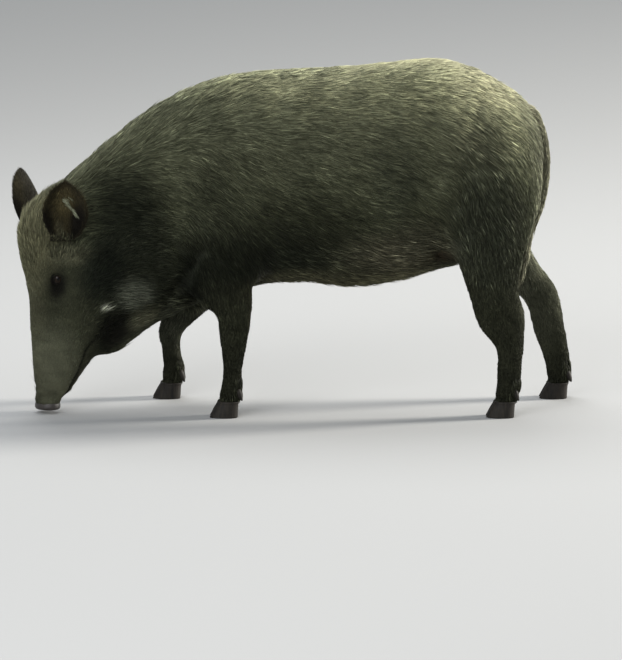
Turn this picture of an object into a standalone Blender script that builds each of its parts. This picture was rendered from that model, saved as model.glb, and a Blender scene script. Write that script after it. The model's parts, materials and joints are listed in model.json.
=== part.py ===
"""A wild boar sow, life size, standing to graze with the head lowered to the ground.

The animal faces -X, its left side is -Y and the floor is Z = 0. All sizes are metres and
reach out to the tips of the coat. The body is lofted from named sections, fused with a
voxel remesh, and then parted with thin cuts into the pieces a person would name.
"""

import math

import bmesh
import bpy
import numpy as np
from mathutils import Matrix, Vector

# ---------------------------------------------------------------- driving dimensions
CUT_GAP = 0.0008        # width of the thin cuts between neighbouring pieces
FIT_GAP = 0.0004        # room round a piece that sits in a pocket of another
FUSE_VOXEL = 0.0070     # cell size of the remesh that fuses the body
FUSE_SOFTEN = 8         # rounds of smoothing after the remesh
BODY_TRIANGLES = 3000   # triangles of the fused body, before it is parted
RING_POINTS = 64        # points round each lofted section
SPAN_STEPS = 6          # rings made between two named sections
EYE_MESH = (14, 8)      # faces round and down an eye
CLAW_MESH = (8, 6)      # faces round and down a dewclaw

HEAD_TURN = math.radians(28)    # the face turns this far towards the animal's left
HEAD_NOD = math.radians(2.5)    # the snout is this far ahead of upright
SNOUT_TIP = Vector((-0.524, -0.066, 0.014))    # centre of the snout's end

EYE_RADIUS = 0.0125
EYE_PLACE = (0.290, 0.016, 0.0620)   # up the face, out of the forehead, to the side

EAR_ROOT = (0.345, 0.008, 0.097)     # up the face, out of the forehead, to the side
LEFT_EAR_AXIS = (0.977, 0.100, 0.180)    # the same three directions, root to tip
RIGHT_EAR_AXIS = (0.930, -0.030, 0.330)
EAR_ACROSS = (-0.130, -0.874, 0.464)     # from the front rim to the back rim
EAR_LENGTH = 0.165
EAR_THICK = 0.0075
EAR_SINK = 0.45         # how sharply the root bends into the head
EAR_POINTS = 7          # points across each face of the ear

# The ear, root to tip: share of its length, half width, depth of its back, depth of its
# hollow.
EAR_PROFILE = (
    (-0.12, 0.022, 0.016, 0.000), (0.06, 0.031, 0.026, 0.002), (0.22, 0.043, 0.029, 0.016),
    (0.42, 0.052, 0.026, 0.023), (0.62, 0.049, 0.020, 0.019), (0.80, 0.037, 0.013, 0.013),
    (0.93, 0.021, 0.007, 0.007), (1.00, 0.006, 0.002, 0.002),
)

SNOUT_HALF_WIDTH = 0.034
SNOUT_HALF_HEIGHT = 0.028
SNOUT_BACK = 0.0056     # back of the snout disc, up the face from its centre
SNOUT_FRONT = -0.0040   # front of the snout disc
NOSTRIL = (0.0055, 0.0075, 0.0135)   # half width, half height, distance to the side
NOSTRIL_DEPTH = 0.0050

HOOF_TOP = 0.0355       # the horn ends here, just under the flesh
HOOF_SIDE = 0.0145      # middle of a toe, sideways from the middle of the foot
HOOF_SOLE = (0.0310, 0.0130)     # half length and half width of a toe on the floor
HOOF_CROWN = (0.0220, 0.0112)    # the same at the top of the horn
HOOF_REACH = 0.0110     # how far the sole sits ahead of the crown
DEWCLAW_RADII = (0.0085, 0.0080, 0.0150)
DEWCLAW_PLACE = (0.0235, 0.0150, 0.0520)     # behind, beside and above the foot's middle

# Outline of one toe, as shares of its half length (toe forwards) and half width
# (outwards); the inner side is the flatter one.
TOE_OUTLINE = (
    (1.00, -0.25), (0.82, 0.35), (0.45, 0.80), (0.00, 1.00), (-0.50, 0.92), (-0.88, 0.50),
    (-1.00, -0.10), (-0.80, -0.62), (-0.30, -0.80), (0.30, -0.82), (0.75, -0.68),
)

# Trunk and neck, from the rump forwards: x, top, bottom, half width, level of the widest
# place (0 bottom to 1 top), sideways shift of the middle.
TRUNK_SECTIONS = (
    (0.546, 0.590, 0.490, 0.050, 0.50, 0.000),    # end of the rump
    (0.536, 0.632, 0.425, 0.098, 0.50, 0.000),    # pin bones
    (0.500, 0.684, 0.362, 0.138, 0.50, 0.000),    # croup
    (0.435, 0.727, 0.335, 0.156, 0.50, 0.000),    # hips
    (0.370, 0.757, 0.318, 0.167, 0.48, 0.000),    # flank
    (0.304, 0.769, 0.300, 0.176, 0.46, 0.000),    # loin
    (0.239, 0.763, 0.281, 0.187, 0.44, 0.000),    # rear of the belly
    (0.130, 0.751, 0.268, 0.194, 0.43, 0.000),    # belly
    (0.022, 0.744, 0.278, 0.188, 0.43, 0.000),    # ribs
    (-0.087, 0.737, 0.268, 0.175, 0.44, 0.000),   # girth
    (-0.196, 0.711, 0.235, 0.162, 0.46, 0.000),   # shoulder
    (-0.304, 0.658, 0.180, 0.143, 0.46, -0.006),  # base of the neck
    (-0.391, 0.594, 0.122, 0.127, 0.46, -0.022),  # middle of the neck
    (-0.455, 0.540, 0.150, 0.108, 0.48, -0.038),  # nape
    (-0.505, 0.502, 0.240, 0.090, 0.52, -0.048),  # behind the poll
    (-0.545, 0.477, 0.330, 0.062, 0.60, -0.058),  # poll
    (-0.566, 0.455, 0.380, 0.030, 0.60, -0.064),  # crown
)

# Head, from the snout up: distance from the snout disc, dorsal height, ventral depth,
# and half widths at the brow, cheek and jaw.
HEAD_SECTIONS = (
    (0.006, 0.030, -0.030, 0.026, 0.034, 0.022),  # behind the snout disc
    (0.022, 0.028, -0.042, 0.025, 0.033, 0.024),  # rim of the nose
    (0.060, 0.033, -0.068, 0.029, 0.039, 0.031),  # lips
    (0.105, 0.040, -0.102, 0.033, 0.047, 0.039),  # muzzle
    (0.145, 0.044, -0.136, 0.037, 0.058, 0.048),  # corner of the mouth
    (0.190, 0.048, -0.160, 0.041, 0.074, 0.060),  # foot of the cheek
    (0.235, 0.053, -0.172, 0.047, 0.088, 0.069),  # cheek
    (0.285, 0.063, -0.168, 0.059, 0.094, 0.074),  # eyes
    (0.335, 0.077, -0.164, 0.067, 0.094, 0.074),  # forehead
    (0.385, 0.085, -0.152, 0.064, 0.090, 0.068),  # crown
    (0.425, 0.078, -0.140, 0.052, 0.078, 0.060),  # poll
    (0.446, 0.058, -0.120, 0.036, 0.058, 0.045),  # back of the poll
)

# Legs, from the top down: x, y, z, half depth (fore and aft), half width (sideways).
FRONT_LEFT = (
    (-0.120, -0.070, 0.600, 0.040, 0.040),   # top of the shoulder blade
    (-0.132, -0.098, 0.520, 0.088, 0.056),   # upper shoulder blade
    (-0.142, -0.106, 0.440, 0.112, 0.062),   # shoulder blade
    (-0.150, -0.113, 0.360, 0.108, 0.058),   # point of the shoulder
    (-0.138, -0.120, 0.290, 0.078, 0.048),   # upper arm
    (-0.121, -0.120, 0.240, 0.044, 0.039),   # elbow
    (-0.120, -0.117, 0.190, 0.034, 0.032),   # forearm
    (-0.121, -0.114, 0.150, 0.0285, 0.028),  # wrist
    (-0.123, -0.112, 0.105, 0.022, 0.023),   # cannon
    (-0.125, -0.111, 0.068, 0.024, 0.025),   # fetlock
    (-0.132, -0.111, 0.030, 0.025, 0.028),   # pastern
)
FRONT_RIGHT = (
    (-0.125, 0.070, 0.600, 0.040, 0.040),
    (-0.138, 0.098, 0.520, 0.088, 0.056),
    (-0.152, 0.106, 0.440, 0.110, 0.062),
    (-0.172, 0.113, 0.360, 0.102, 0.058),
    (-0.183, 0.120, 0.295, 0.070, 0.048),
    (-0.196, 0.120, 0.240, 0.045, 0.039),
    (-0.232, 0.117, 0.195, 0.035, 0.032),
    (-0.262, 0.115, 0.153, 0.0285, 0.028),
    (-0.261, 0.114, 0.110, 0.022, 0.023),
    (-0.256, 0.113, 0.068, 0.024, 0.025),
    (-0.261, 0.113, 0.030, 0.025, 0.028),
)
HIND_LEFT = (
    (0.385, -0.060, 0.690, 0.050, 0.040),    # top of the hip
    (0.400, -0.082, 0.620, 0.104, 0.060),    # hip
    (0.412, -0.095, 0.545, 0.120, 0.069),    # upper thigh
    (0.426, -0.107, 0.470, 0.112, 0.068),    # thigh
    (0.429, -0.116, 0.395, 0.090, 0.058),    # stifle
    (0.432, -0.118, 0.320, 0.068, 0.045),    # gaskin
    (0.442, -0.117, 0.260, 0.056, 0.037),    # above the hock
    (0.459, -0.115, 0.208, 0.053, 0.031),    # hock
    (0.474, -0.112, 0.155, 0.032, 0.025),    # cannon
    (0.473, -0.111, 0.080, 0.027, 0.026),    # fetlock
    (0.464, -0.111, 0.030, 0.026, 0.028),    # pastern
)
HIND_RIGHT = (
    (0.385, 0.060, 0.690, 0.050, 0.040),
    (0.400, 0.082, 0.620, 0.104, 0.060),
    (0.412, 0.095, 0.545, 0.120, 0.069),
    (0.428, 0.107, 0.470, 0.106, 0.068),
    (0.443, 0.114, 0.395, 0.076, 0.058),
    (0.468, 0.116, 0.325, 0.060, 0.046),
    (0.519, 0.116, 0.268, 0.043, 0.038),
    (0.552, 0.115, 0.225, 0.039, 0.031),
    (0.568, 0.114, 0.155, 0.036, 0.026),
    (0.588, 0.113, 0.080, 0.029, 0.026),
    (0.588, 0.113, 0.030, 0.026, 0.028),
)
TAIL = (
    (0.488, 0.000, 0.650, 0.020, 0.022),     # root, inside the croup
    (0.521, -0.001, 0.645, 0.017, 0.019),
    (0.547, -0.002, 0.612, 0.013, 0.015),
    (0.558, -0.003, 0.560, 0.012, 0.013),
    (0.5585, -0.004, 0.510, 0.012, 0.013),
    (0.549, -0.005, 0.455, 0.012, 0.013),
    (0.527, -0.005, 0.395, 0.012, 0.013),    # tassel
    (0.515, -0.004, 0.345, 0.011, 0.013),
    (0.508, -0.003, 0.300, 0.004, 0.005),
)

# Where the legs part from the trunk: x of the front and back faces at the floor, lean of
# the front face (x per metre up), height of the cut at the midline and its rise outwards.
FRONT_LEFT_CUT = (-0.288, -0.040, 0.0, 0.240, 0.92)
FRONT_RIGHT_CUT = (-0.318, -0.062, 0.0, 0.240, 0.92)
HIND_CUT = (0.400, 0.800, -0.20, 0.285, 1.67)
LEG_INSIDE = 0.036      # the legs' inner cuts stand this far from the midline
FAR_OUT = 0.300         # outer side of every cutting block

# Planes across the body: x at the floor and lean (x per metre up).
HEAD_CUT = (-0.2450, -0.4225)
NECK_CUT = (-0.3480, 0.1364)

COAT = (0.115, 0.100, 0.062, 1.0)
COAT_DARK = (0.050, 0.042, 0.026, 1.0)
EAR_BROWN = (0.042, 0.032, 0.018, 1.0)
EYE_DARK = (0.018, 0.011, 0.007, 1.0)
SNOUT_SKIN = (0.085, 0.066, 0.058, 1.0)
HORN = (0.040, 0.034, 0.028, 1.0)


# ---------------------------------------------------------------- small tools
def clear_scene():
    """Starts from an empty scene."""
    for thing in list(bpy.data.objects):
        bpy.data.objects.remove(thing, do_unlink=True)


def material(name, colour, roughness):
    made = bpy.data.materials.new(name)
    made.use_nodes = True
    shader = made.node_tree.nodes["Principled BSDF"]
    shader.inputs["Base Color"].default_value = colour
    shader.inputs["Roughness"].default_value = roughness
    shader.inputs["Metallic"].default_value = 0.0
    return made


def new_object(name, mesh, collection):
    made = bpy.data.objects.new(name, mesh)
    collection.objects.link(made)
    return made


def finished_object(name, form, collection):
    """An object from a bmesh, in triangles that face outwards."""
    bmesh.ops.triangulate(form, faces=form.faces)
    bmesh.ops.recalc_face_normals(form, faces=form.faces)
    mesh = bpy.data.meshes.new(name)
    form.to_mesh(mesh)
    form.free()
    return new_object(name, mesh, collection)


def settle(body):
    """Puts the shape that the modifiers make in place of the object's mesh."""
    shown = body.evaluated_get(bpy.context.evaluated_depsgraph_get())
    mesh = bpy.data.meshes.new_from_object(shown)
    worn = body.data
    body.modifiers.clear()
    body.data = mesh
    bpy.data.meshes.remove(worn)


def combine(body, tool, operation):
    """Cuts the tool from the body, or keeps only what both share."""
    step = body.modifiers.new("cut", "BOOLEAN")
    step.operation = operation
    step.solver = "EXACT"
    step.object = tool
    settle(body)


def through(rows, steps=SPAN_STEPS):
    """A smooth curve through rows of numbers, with `steps` rows for each span."""
    rows = np.asarray(rows, float)
    ends = np.vstack([2 * rows[0] - rows[1], rows, 2 * rows[-1] - rows[-2]])
    share = np.linspace(0, 1, steps, endpoint=False)[:, None]
    made = []
    for i in range(len(rows) - 1):
        a, b, c, d = ends[i:i + 4]
        curve = 2 * b + (c - a) * share + (2 * a - 5 * b + 4 * c - d) * share ** 2
        made.append(0.5 * (curve + (3 * b - a - 3 * c + d) * share ** 3))
    return np.vstack(made + [rows[-1:]])


def loft(name, rings, collection):
    """A closed skin over equal rings of points, with flat ends."""
    count, around = len(rings), len(rings[0])
    form = bmesh.new()
    grid = [[form.verts.new(point) for point in ring] for ring in rings]
    for i in range(count - 1):
        for j in range(around):
            k = (j + 1) % around
            form.faces.new((grid[i][j], grid[i][k], grid[i + 1][k], grid[i + 1][j]))
    form.faces.new(grid[0])
    form.faces.new(grid[-1])
    return finished_object(name, form, collection)


def egg(name, centre, radii, collection, segments=(12, 8)):
    """A ball with three radii."""
    form = bmesh.new()
    bmesh.ops.create_uvsphere(form, u_segments=segments[0], v_segments=segments[1], radius=1.0)
    place = Matrix.Translation(centre) @ Matrix.Diagonal((*radii, 1.0))
    bmesh.ops.transform(form, matrix=place, verts=form.verts)
    return finished_object(name, form, collection)


def block(name, x_front, x_back, lean, side, top, rise, collection, grow=0.0):
    """A six-sided cutting block from below the floor up to a sloping top.

    x_front and x_back are its faces at the floor, lean is how far both lean in x for
    each metre up, side is the y span from the inner to the outer face, and the top
    stands at `top` on the midline and rises by `rise` for each metre outwards.
    """
    inner, outer = side
    outwards = 1.0 if outer > inner else -1.0
    inner -= outwards * grow
    form = bmesh.new()
    corners = []
    for y in (inner, outer):
        high = top + grow + rise * abs(y)
        for z in (-0.05, high):
            corners.append(form.verts.new((x_front - grow + lean * z, y, z)))
            corners.append(form.verts.new((x_back + grow + lean * z, y, z)))
    bmesh.ops.convex_hull(form, input=corners)
    return finished_object(name, form, collection)


# ---------------------------------------------------------------- the body's forms
def trunk_form(collection):
    """Trunk and neck: upright egg-shaped sections along X, a little narrowed to the back."""
    angles = np.linspace(0, 2 * math.pi, RING_POINTS, endpoint=False)
    across = np.sign(np.cos(angles)) * np.abs(np.cos(angles)) ** 0.93
    up = np.sign(np.sin(angles)) * np.abs(np.sin(angles)) ** 0.93
    across = across * (1.0 - 0.10 * np.clip(up, 0, 1) ** 2)
    rings = []
    for x, top, bottom, half, widest, shift in through(TRUNK_SECTIONS):
        level = bottom + widest * (top - bottom)
        height = np.where(up > 0, top - level, level - bottom) * up
        rings.append(np.stack([np.full(RING_POINTS, x), shift + half * across, level + height], 1))
    return loft("trunk_form", rings, collection)


def head_frame():
    """The head's axes: up the face, out of the forehead, and to the animal's left."""
    ahead = math.tan(HEAD_NOD)
    up_face = Vector((math.cos(HEAD_TURN) * ahead, math.sin(HEAD_TURN) * ahead, 1)).normalized()
    dorsal = Vector((-math.cos(HEAD_TURN), -math.sin(HEAD_TURN), 0))
    left = Vector((math.sin(HEAD_TURN), -math.cos(HEAD_TURN), 0))
    return up_face, dorsal, left


def head_way(along, dorsal, left):
    """A direction given up the face, out of the forehead and to the animal's left."""
    axes = head_frame()
    return axes[0] * along + axes[1] * dorsal + axes[2] * left


def head_point(along, dorsal, left):
    """A place on the head, given in the head's own directions from the snout's end."""
    return SNOUT_TIP + head_way(along, dorsal, left)


def head_ring(along, top, bottom, brow, cheek, jaw):
    """A head section: a closed curve through crown, brows, cheeks, jaw and throat."""
    deep = top - bottom
    side = [(top - 0.16 * deep, brow), (top - 0.50 * deep, cheek), (bottom + 0.16 * deep, jaw)]
    corners = [(top, 0.0)] + side + [(bottom, 0.0)] + [(v, -w) for v, w in reversed(side)]
    steps = RING_POINTS // len(corners)
    closed = through(corners[-1:] + corners + corners[:2], steps)[steps:steps + RING_POINTS]
    return [head_point(along, v, w) for v, w in closed]


def head_form(collection):
    rings = [head_ring(*row) for row in through(HEAD_SECTIONS)]
    return loft("head_form", rings, collection)


def limb_rings(joints, steps, points):
    """Oval rings square to the path through a limb's joints."""
    rows = through(joints, steps)
    path = rows[:, :3]
    along = np.gradient(path, axis=0)
    along /= np.linalg.norm(along, axis=1)[:, None]
    fore = np.cross(np.array((0.0, 1.0, 0.0)), along)
    fore /= np.linalg.norm(fore, axis=1)[:, None]
    side = np.cross(along, fore)
    angles = np.linspace(0, 2 * math.pi, points, endpoint=False)[:, None]
    rings = []
    for i in range(len(rows)):
        spread = np.cos(angles) * fore[i] * rows[i, 3] + np.sin(angles) * side[i] * rows[i, 4]
        rings.append(path[i] + spread)
    return rings


def limb_form(name, joints, collection):
    return loft(name, limb_rings(joints, SPAN_STEPS, RING_POINTS), collection)


def fused_body(collection):
    """Trunk, head and legs as one skin, softened and thinned to a few triangles."""
    forms = [
        trunk_form(collection), head_form(collection),
        limb_form("front_left_form", FRONT_LEFT, collection),
        limb_form("front_right_form", FRONT_RIGHT, collection),
        limb_form("hind_left_form", HIND_LEFT, collection),
        limb_form("hind_right_form", HIND_RIGHT, collection),
    ]
    form = bmesh.new()
    for piece in forms:
        form.from_mesh(piece.data)
        bpy.data.objects.remove(piece, do_unlink=True)
    body = finished_object("body", form, collection)
    fuse = body.modifiers.new("fuse", "REMESH")
    fuse.mode = "VOXEL"
    fuse.voxel_size = FUSE_VOXEL
    soften = body.modifiers.new("soften", "SMOOTH")
    soften.factor = 0.5
    soften.iterations = FUSE_SOFTEN
    settle(body)
    thin = body.modifiers.new("thin", "DECIMATE")
    thin.ratio = BODY_TRIANGLES / (2.0 * len(body.data.polygons))
    settle(body)
    return body


def ear_form(name, side, collection):
    """A cupped leaf with a rounded tip; side is 1 for the left ear and -1 for the right.

    Down its length the leaf widens and narrows, its cup grows flatter towards the tip and
    its rims are thinner than its middle, while its root is filled and bends into the head.
    """
    def way(parts):
        return head_way(parts[0], parts[1], side * parts[2]).normalized()

    root = head_point(EAR_ROOT[0], EAR_ROOT[1], side * EAR_ROOT[2])
    axis = way(LEFT_EAR_AXIS if side > 0 else RIGHT_EAR_AXIS)
    across = way(EAR_ACROSS)
    across = (across - axis * across.dot(axis)).normalized()
    open_way = across.cross(axis).normalized() * side
    spread = np.linspace(-1, 1, EAR_POINTS)
    rings = []
    for share, half, cup, hollow in through(EAR_PROFILE, 2):
        sunk = EAR_SINK * max(0.0, 0.15 - share) ** 2
        middle = root + axis * (EAR_LENGTH * share) + open_way * (0.010 * share ** 2)
        middle -= head_way(0, 0, side) * sunk
        thick = EAR_THICK * (1.0 - 0.55 * spread ** 2) * (1.0 - 0.35 * max(share, 0))
        rise = 1.0 - spread ** 2
        back = [middle + across * (half * v) - open_way * (cup * r + t / 2)
                for v, r, t in zip(spread, rise, thick)]
        front = [middle + across * (half * v) - open_way * (hollow * r - t / 2)
                 for v, r, t in zip(spread, rise, thick)]
        rings.append(back + front[::-1])
    return loft(name, rings, collection)


def snout_form(collection):
    """The flat oval snout disc with two blind nostrils."""
    angles = np.linspace(0, 2 * math.pi, 28, endpoint=False)
    rings = []
    for along, size in ((SNOUT_BACK, 0.90), (0.0030, 1.0), (-0.0010, 1.0), (SNOUT_FRONT, 0.86)):
        rings.append([
            head_point(along, size * SNOUT_HALF_HEIGHT * math.sin(a),
                       size * SNOUT_HALF_WIDTH * math.cos(a))
            for a in angles
        ])
    disc = loft("snout", rings, collection)
    for side in (-1, 1):
        half_width, half_height, beside = NOSTRIL
        pit = []
        for along in (SNOUT_FRONT - 0.01, SNOUT_FRONT + NOSTRIL_DEPTH):
            pit.append([
                head_point(along, half_height * math.sin(a), side * beside + half_width * math.cos(a))
                for a in angles[::2]
            ])
        tool = loft("nostril_tool", pit, collection)
        combine(disc, tool, "DIFFERENCE")
        bpy.data.objects.remove(tool, do_unlink=True)
    return disc


def hoof_form(name, foot_x, foot_y, outwards, collection):
    """One toe's horn: flat on the floor, leaning forwards, narrowing to the crown."""
    rings = []
    for height, share in ((0.0, 0.0), (0.004, 0.10), (0.020, 0.52), (HOOF_TOP, 1.0)):
        long = HOOF_SOLE[0] + (HOOF_CROWN[0] - HOOF_SOLE[0]) * share
        wide = HOOF_SOLE[1] + (HOOF_CROWN[1] - HOOF_SOLE[1]) * share
        ahead = HOOF_REACH * (1.0 - share)
        rings.append([
            (foot_x - ahead - long * a, foot_y + outwards * (HOOF_SIDE + wide * b), height)
            for a, b in TOE_OUTLINE
        ])
    return loft(name, rings, collection)


# ---------------------------------------------------------------- parting the body
def part_off(rest, name, span, lean, side, top, rise, animal, tools):
    """Takes the share of the body inside a cutting block off as its own piece."""
    piece = new_object(name, rest.data.copy(), animal)
    inside = block("inside_tool", *span, lean, side, top, rise, tools)
    outside = block("outside_tool", *span, lean, side, top, rise, tools, CUT_GAP)
    combine(piece, inside, "INTERSECT")
    combine(rest, outside, "DIFFERENCE")
    bpy.data.objects.remove(inside, do_unlink=True)
    bpy.data.objects.remove(outside, do_unlink=True)
    return piece


def cut_away(body, tool):
    """Sinks a tool's shape into a body and throws the tool away."""
    combine(body, tool, "DIFFERENCE")
    bpy.data.objects.remove(tool, do_unlink=True)


def pocket(body, piece, tools):
    """Makes room in a body for a piece, with the fit gap all round it."""
    form = bmesh.new()
    form.from_mesh(piece.data)
    form.normal_update()
    steps = [vertex.normal * (FIT_GAP * vertex.calc_shell_factor()) for vertex in form.verts]
    for vertex, step in zip(form.verts, steps):
        vertex.co += step
    cut_away(body, finished_object("pocket_tool", form, tools))


def build_legs(rest, animal, tools, horn):
    """The four legs, cut from the body, with their hooves and dewclaws."""
    legs = (
        ("front_left", FRONT_LEFT, FRONT_LEFT_CUT, -1),
        ("front_right", FRONT_RIGHT, FRONT_RIGHT_CUT, 1),
        ("hind_left", HIND_LEFT, HIND_CUT, -1),
        ("hind_right", HIND_RIGHT, HIND_CUT, 1),
    )
    made = []
    for name, joints, cut, side in legs:
        x_front, x_back, lean, top, rise = cut
        leg = part_off(rest, "leg_" + name, (x_front, x_back), lean,
                       (side * LEG_INSIDE, side * FAR_OUT), top, rise, animal, tools)
        foot_x, foot_y = joints[-1][0], joints[-1][1]
        floor_tool = block("floor_tool", -1.0, 1.0, 0.0, (-FAR_OUT, FAR_OUT),
                           HOOF_TOP + FIT_GAP, 0.0, tools)
        cut_away(leg, floor_tool)
        for place, outwards in (("outer", side), ("inner", -side)):
            hoof = hoof_form(f"hoof_{name}_{place}", foot_x, foot_y, outwards, animal)
            hoof.data.materials.append(horn)
            back, beside, up = DEWCLAW_PLACE
            centre = Vector((foot_x + back, foot_y + outwards * beside, up))
            claw = egg(f"dewclaw_{name}_{place}", centre, DEWCLAW_RADII, animal, CLAW_MESH)
            claw.data.materials.append(horn)
            pocket(leg, claw, tools)
        made.append(leg)
    return made


def stand_over_origin(collection):
    """Moves every piece so that the whole stands with its middle over the origin."""
    spots = []
    for piece in collection.objects:
        spots.extend(vertex.co[:] for vertex in piece.data.vertices)
    spots = np.array(spots)
    middle = (spots.min(axis=0) + spots.max(axis=0)) / 2
    for piece in collection.objects:
        piece.data.transform(Matrix.Translation((-middle[0], -middle[1], 0.0)))


def main():
    clear_scene()
    animal = bpy.data.collections.new("wild_boar")
    tools = bpy.data.collections.new("cutters")
    bpy.context.scene.collection.children.link(animal)
    bpy.context.scene.collection.children.link(tools)
    coat = material("coat", COAT, 0.85)
    coat_dark = material("coat_dark", COAT_DARK, 0.85)
    horn = material("horn", HORN, 0.45)

    rest = fused_body(animal)
    for leg in build_legs(rest, animal, tools, horn):
        leg.data.materials.append(coat_dark)
    whole = (-FAR_OUT - 0.1, FAR_OUT + 0.1)
    head = part_off(rest, "head", (HEAD_CUT[0] - 2.0, HEAD_CUT[0]), HEAD_CUT[1], whole,
                    1.0, 0.0, animal, tools)
    neck = part_off(rest, "neck", (NECK_CUT[0] - 2.0, NECK_CUT[0]), NECK_CUT[1], whole,
                    1.0, 0.0, animal, tools)
    trunk = rest
    trunk.name = "trunk"
    for piece in (head, neck, trunk):
        piece.data.materials.append(coat)

    tail = loft("tail", limb_rings(TAIL, 2, 12), animal)
    tail.data.materials.append(coat_dark)
    pocket(trunk, tail, tools)

    ear_brown = material("ear_brown", EAR_BROWN, 0.85)
    eye_dark = material("eye", EYE_DARK, 0.10)
    for place, side in (("left", 1), ("right", -1)):
        ear = ear_form("ear_" + place, side, animal)
        ear.data.materials.append(ear_brown)
        for piece in (head, neck):
            pocket(piece, ear, tools)
        centre = head_point(EYE_PLACE[0], EYE_PLACE[1], side * EYE_PLACE[2])
        eye = egg("eye_" + place, centre, [EYE_RADIUS] * 3, animal, EYE_MESH)
        eye.data.materials.append(eye_dark)
        pocket(head, eye, tools)
    snout_form(animal).data.materials.append(material("snout_skin", SNOUT_SKIN, 0.40))
    stand_over_origin(animal)


main()
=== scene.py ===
"""Wild boar sow, grazing: skin, coat, eyes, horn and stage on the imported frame.

Metres, the animal faces -X, its left side is -Y and the floor is Z = 0. One skin stands
for all the flesh and lies under the coat by the coat's depth. The coat is solid tufts
that follow a guide of combing directions and lengths.
"""

import json
import math

import bmesh
import bpy
import numpy as np
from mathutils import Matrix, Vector

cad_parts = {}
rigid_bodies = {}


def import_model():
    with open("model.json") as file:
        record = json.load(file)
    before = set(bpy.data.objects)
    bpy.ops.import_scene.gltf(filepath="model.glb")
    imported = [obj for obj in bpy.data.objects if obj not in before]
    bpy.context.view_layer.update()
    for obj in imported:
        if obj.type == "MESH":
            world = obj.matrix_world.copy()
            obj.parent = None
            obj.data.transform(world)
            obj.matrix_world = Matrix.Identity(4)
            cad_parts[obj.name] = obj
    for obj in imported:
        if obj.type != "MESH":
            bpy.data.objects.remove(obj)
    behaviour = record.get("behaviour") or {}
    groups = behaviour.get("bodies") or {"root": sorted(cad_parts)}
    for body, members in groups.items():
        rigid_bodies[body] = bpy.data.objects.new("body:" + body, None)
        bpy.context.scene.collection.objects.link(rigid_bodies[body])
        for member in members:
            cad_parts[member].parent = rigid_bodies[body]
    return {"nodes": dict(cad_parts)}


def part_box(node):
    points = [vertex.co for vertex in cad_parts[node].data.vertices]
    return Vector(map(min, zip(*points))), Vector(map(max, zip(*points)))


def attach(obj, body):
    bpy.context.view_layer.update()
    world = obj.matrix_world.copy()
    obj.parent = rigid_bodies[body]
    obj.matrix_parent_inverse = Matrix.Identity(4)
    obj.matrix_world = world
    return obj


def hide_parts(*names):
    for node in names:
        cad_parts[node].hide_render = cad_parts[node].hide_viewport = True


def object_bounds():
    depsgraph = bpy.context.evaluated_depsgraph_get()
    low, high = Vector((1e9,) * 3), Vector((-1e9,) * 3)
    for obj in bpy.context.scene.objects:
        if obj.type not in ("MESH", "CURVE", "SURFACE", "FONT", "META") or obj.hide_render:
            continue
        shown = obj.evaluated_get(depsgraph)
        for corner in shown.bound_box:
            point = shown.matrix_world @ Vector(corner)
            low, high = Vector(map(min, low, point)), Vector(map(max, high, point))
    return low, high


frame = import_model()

bl_info = {
    "name": "Wild boar, grazing",
    "version": (1, 0, 0),
    "blender": (4, 5, 0),
    "location": "3D View > Sidebar > Boar",
    "description": "Dresses the packed boar with a skin, a coat, eyes, horn and a stage",
    "category": "Object",
}

BOX_AT_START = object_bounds()
SEED = 20

# ---------------------------------------------------------------- where the animal stands
# The tables below use the drawing's own origin; SHIFT brings them to the row's.
SNOUT_TIP = np.array((-0.524, -0.066, 0.014))
_low, _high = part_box("snout")
SHIFT = np.array(((_low.x + _high.x) / 2 - SNOUT_TIP[0],
                  (_low.y + _high.y) / 2 - SNOUT_TIP[1], 0.0))
HANDS = (1, -1)             # left and right on the head's own axes
HEAD_TURN = math.radians(28)
HEAD_NOD = math.radians(2.5)
UP_FACE = np.array((math.cos(HEAD_TURN) * math.tan(HEAD_NOD),
                    math.sin(HEAD_TURN) * math.tan(HEAD_NOD), 1.0))
UP_FACE /= np.linalg.norm(UP_FACE)
DORSAL = np.array((-math.cos(HEAD_TURN), -math.sin(HEAD_TURN), 0.0))
LEFT = np.array((math.sin(HEAD_TURN), -math.cos(HEAD_TURN), 0.0))
HEAD_AXES = np.array((UP_FACE, DORSAL, LEFT))
HEAD_BACK_PLANE = (-0.245, -0.4225)     # x at the floor and lean of the plane behind the head
FEET_BEHIND = -0.36         # every foot stands behind this x and the low head ahead of it

EYE_PLACE = (0.290, 0.016, 0.0620)
EYE_RADIUS = 0.0134
EYE_SINK = 0.0060
SLIT_HALF, SLIT_OPEN = 0.0132, 0.0070       # half length and half height of the open eye
LID_HALF, LID_OPEN = 0.0122, 0.0066         # the same of the lids' ring
EAR_ROOTS = {1: (0.366, 0.019, 0.096), -1: (0.360, 0.0075, 0.101)}
EAR_AXES = {1: (0.977, 0.100, 0.180), -1: (0.930, -0.030, 0.330)}
EAR_ACROSS = (-0.130, -0.874, 0.464)
EAR_LENGTH = 0.149
EAR_SINK = 0.95             # how fast the ear's foot bends in towards the head
EAR_LEAN = 0.010            # how far the ear's tip leans out of its cup
# Share of the length, half width, depth of the back and depth of the hollow.
EAR_PROFILE = (
    (-0.12, 0.016, 0.014, 0.000), (0.06, 0.024, 0.024, 0.003), (0.22, 0.038, 0.029, 0.017),
    (0.42, 0.049, 0.026, 0.023), (0.62, 0.047, 0.020, 0.019), (0.80, 0.036, 0.013, 0.013),
    (0.93, 0.020, 0.007, 0.007), (1.00, 0.005, 0.002, 0.002),
)
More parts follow.
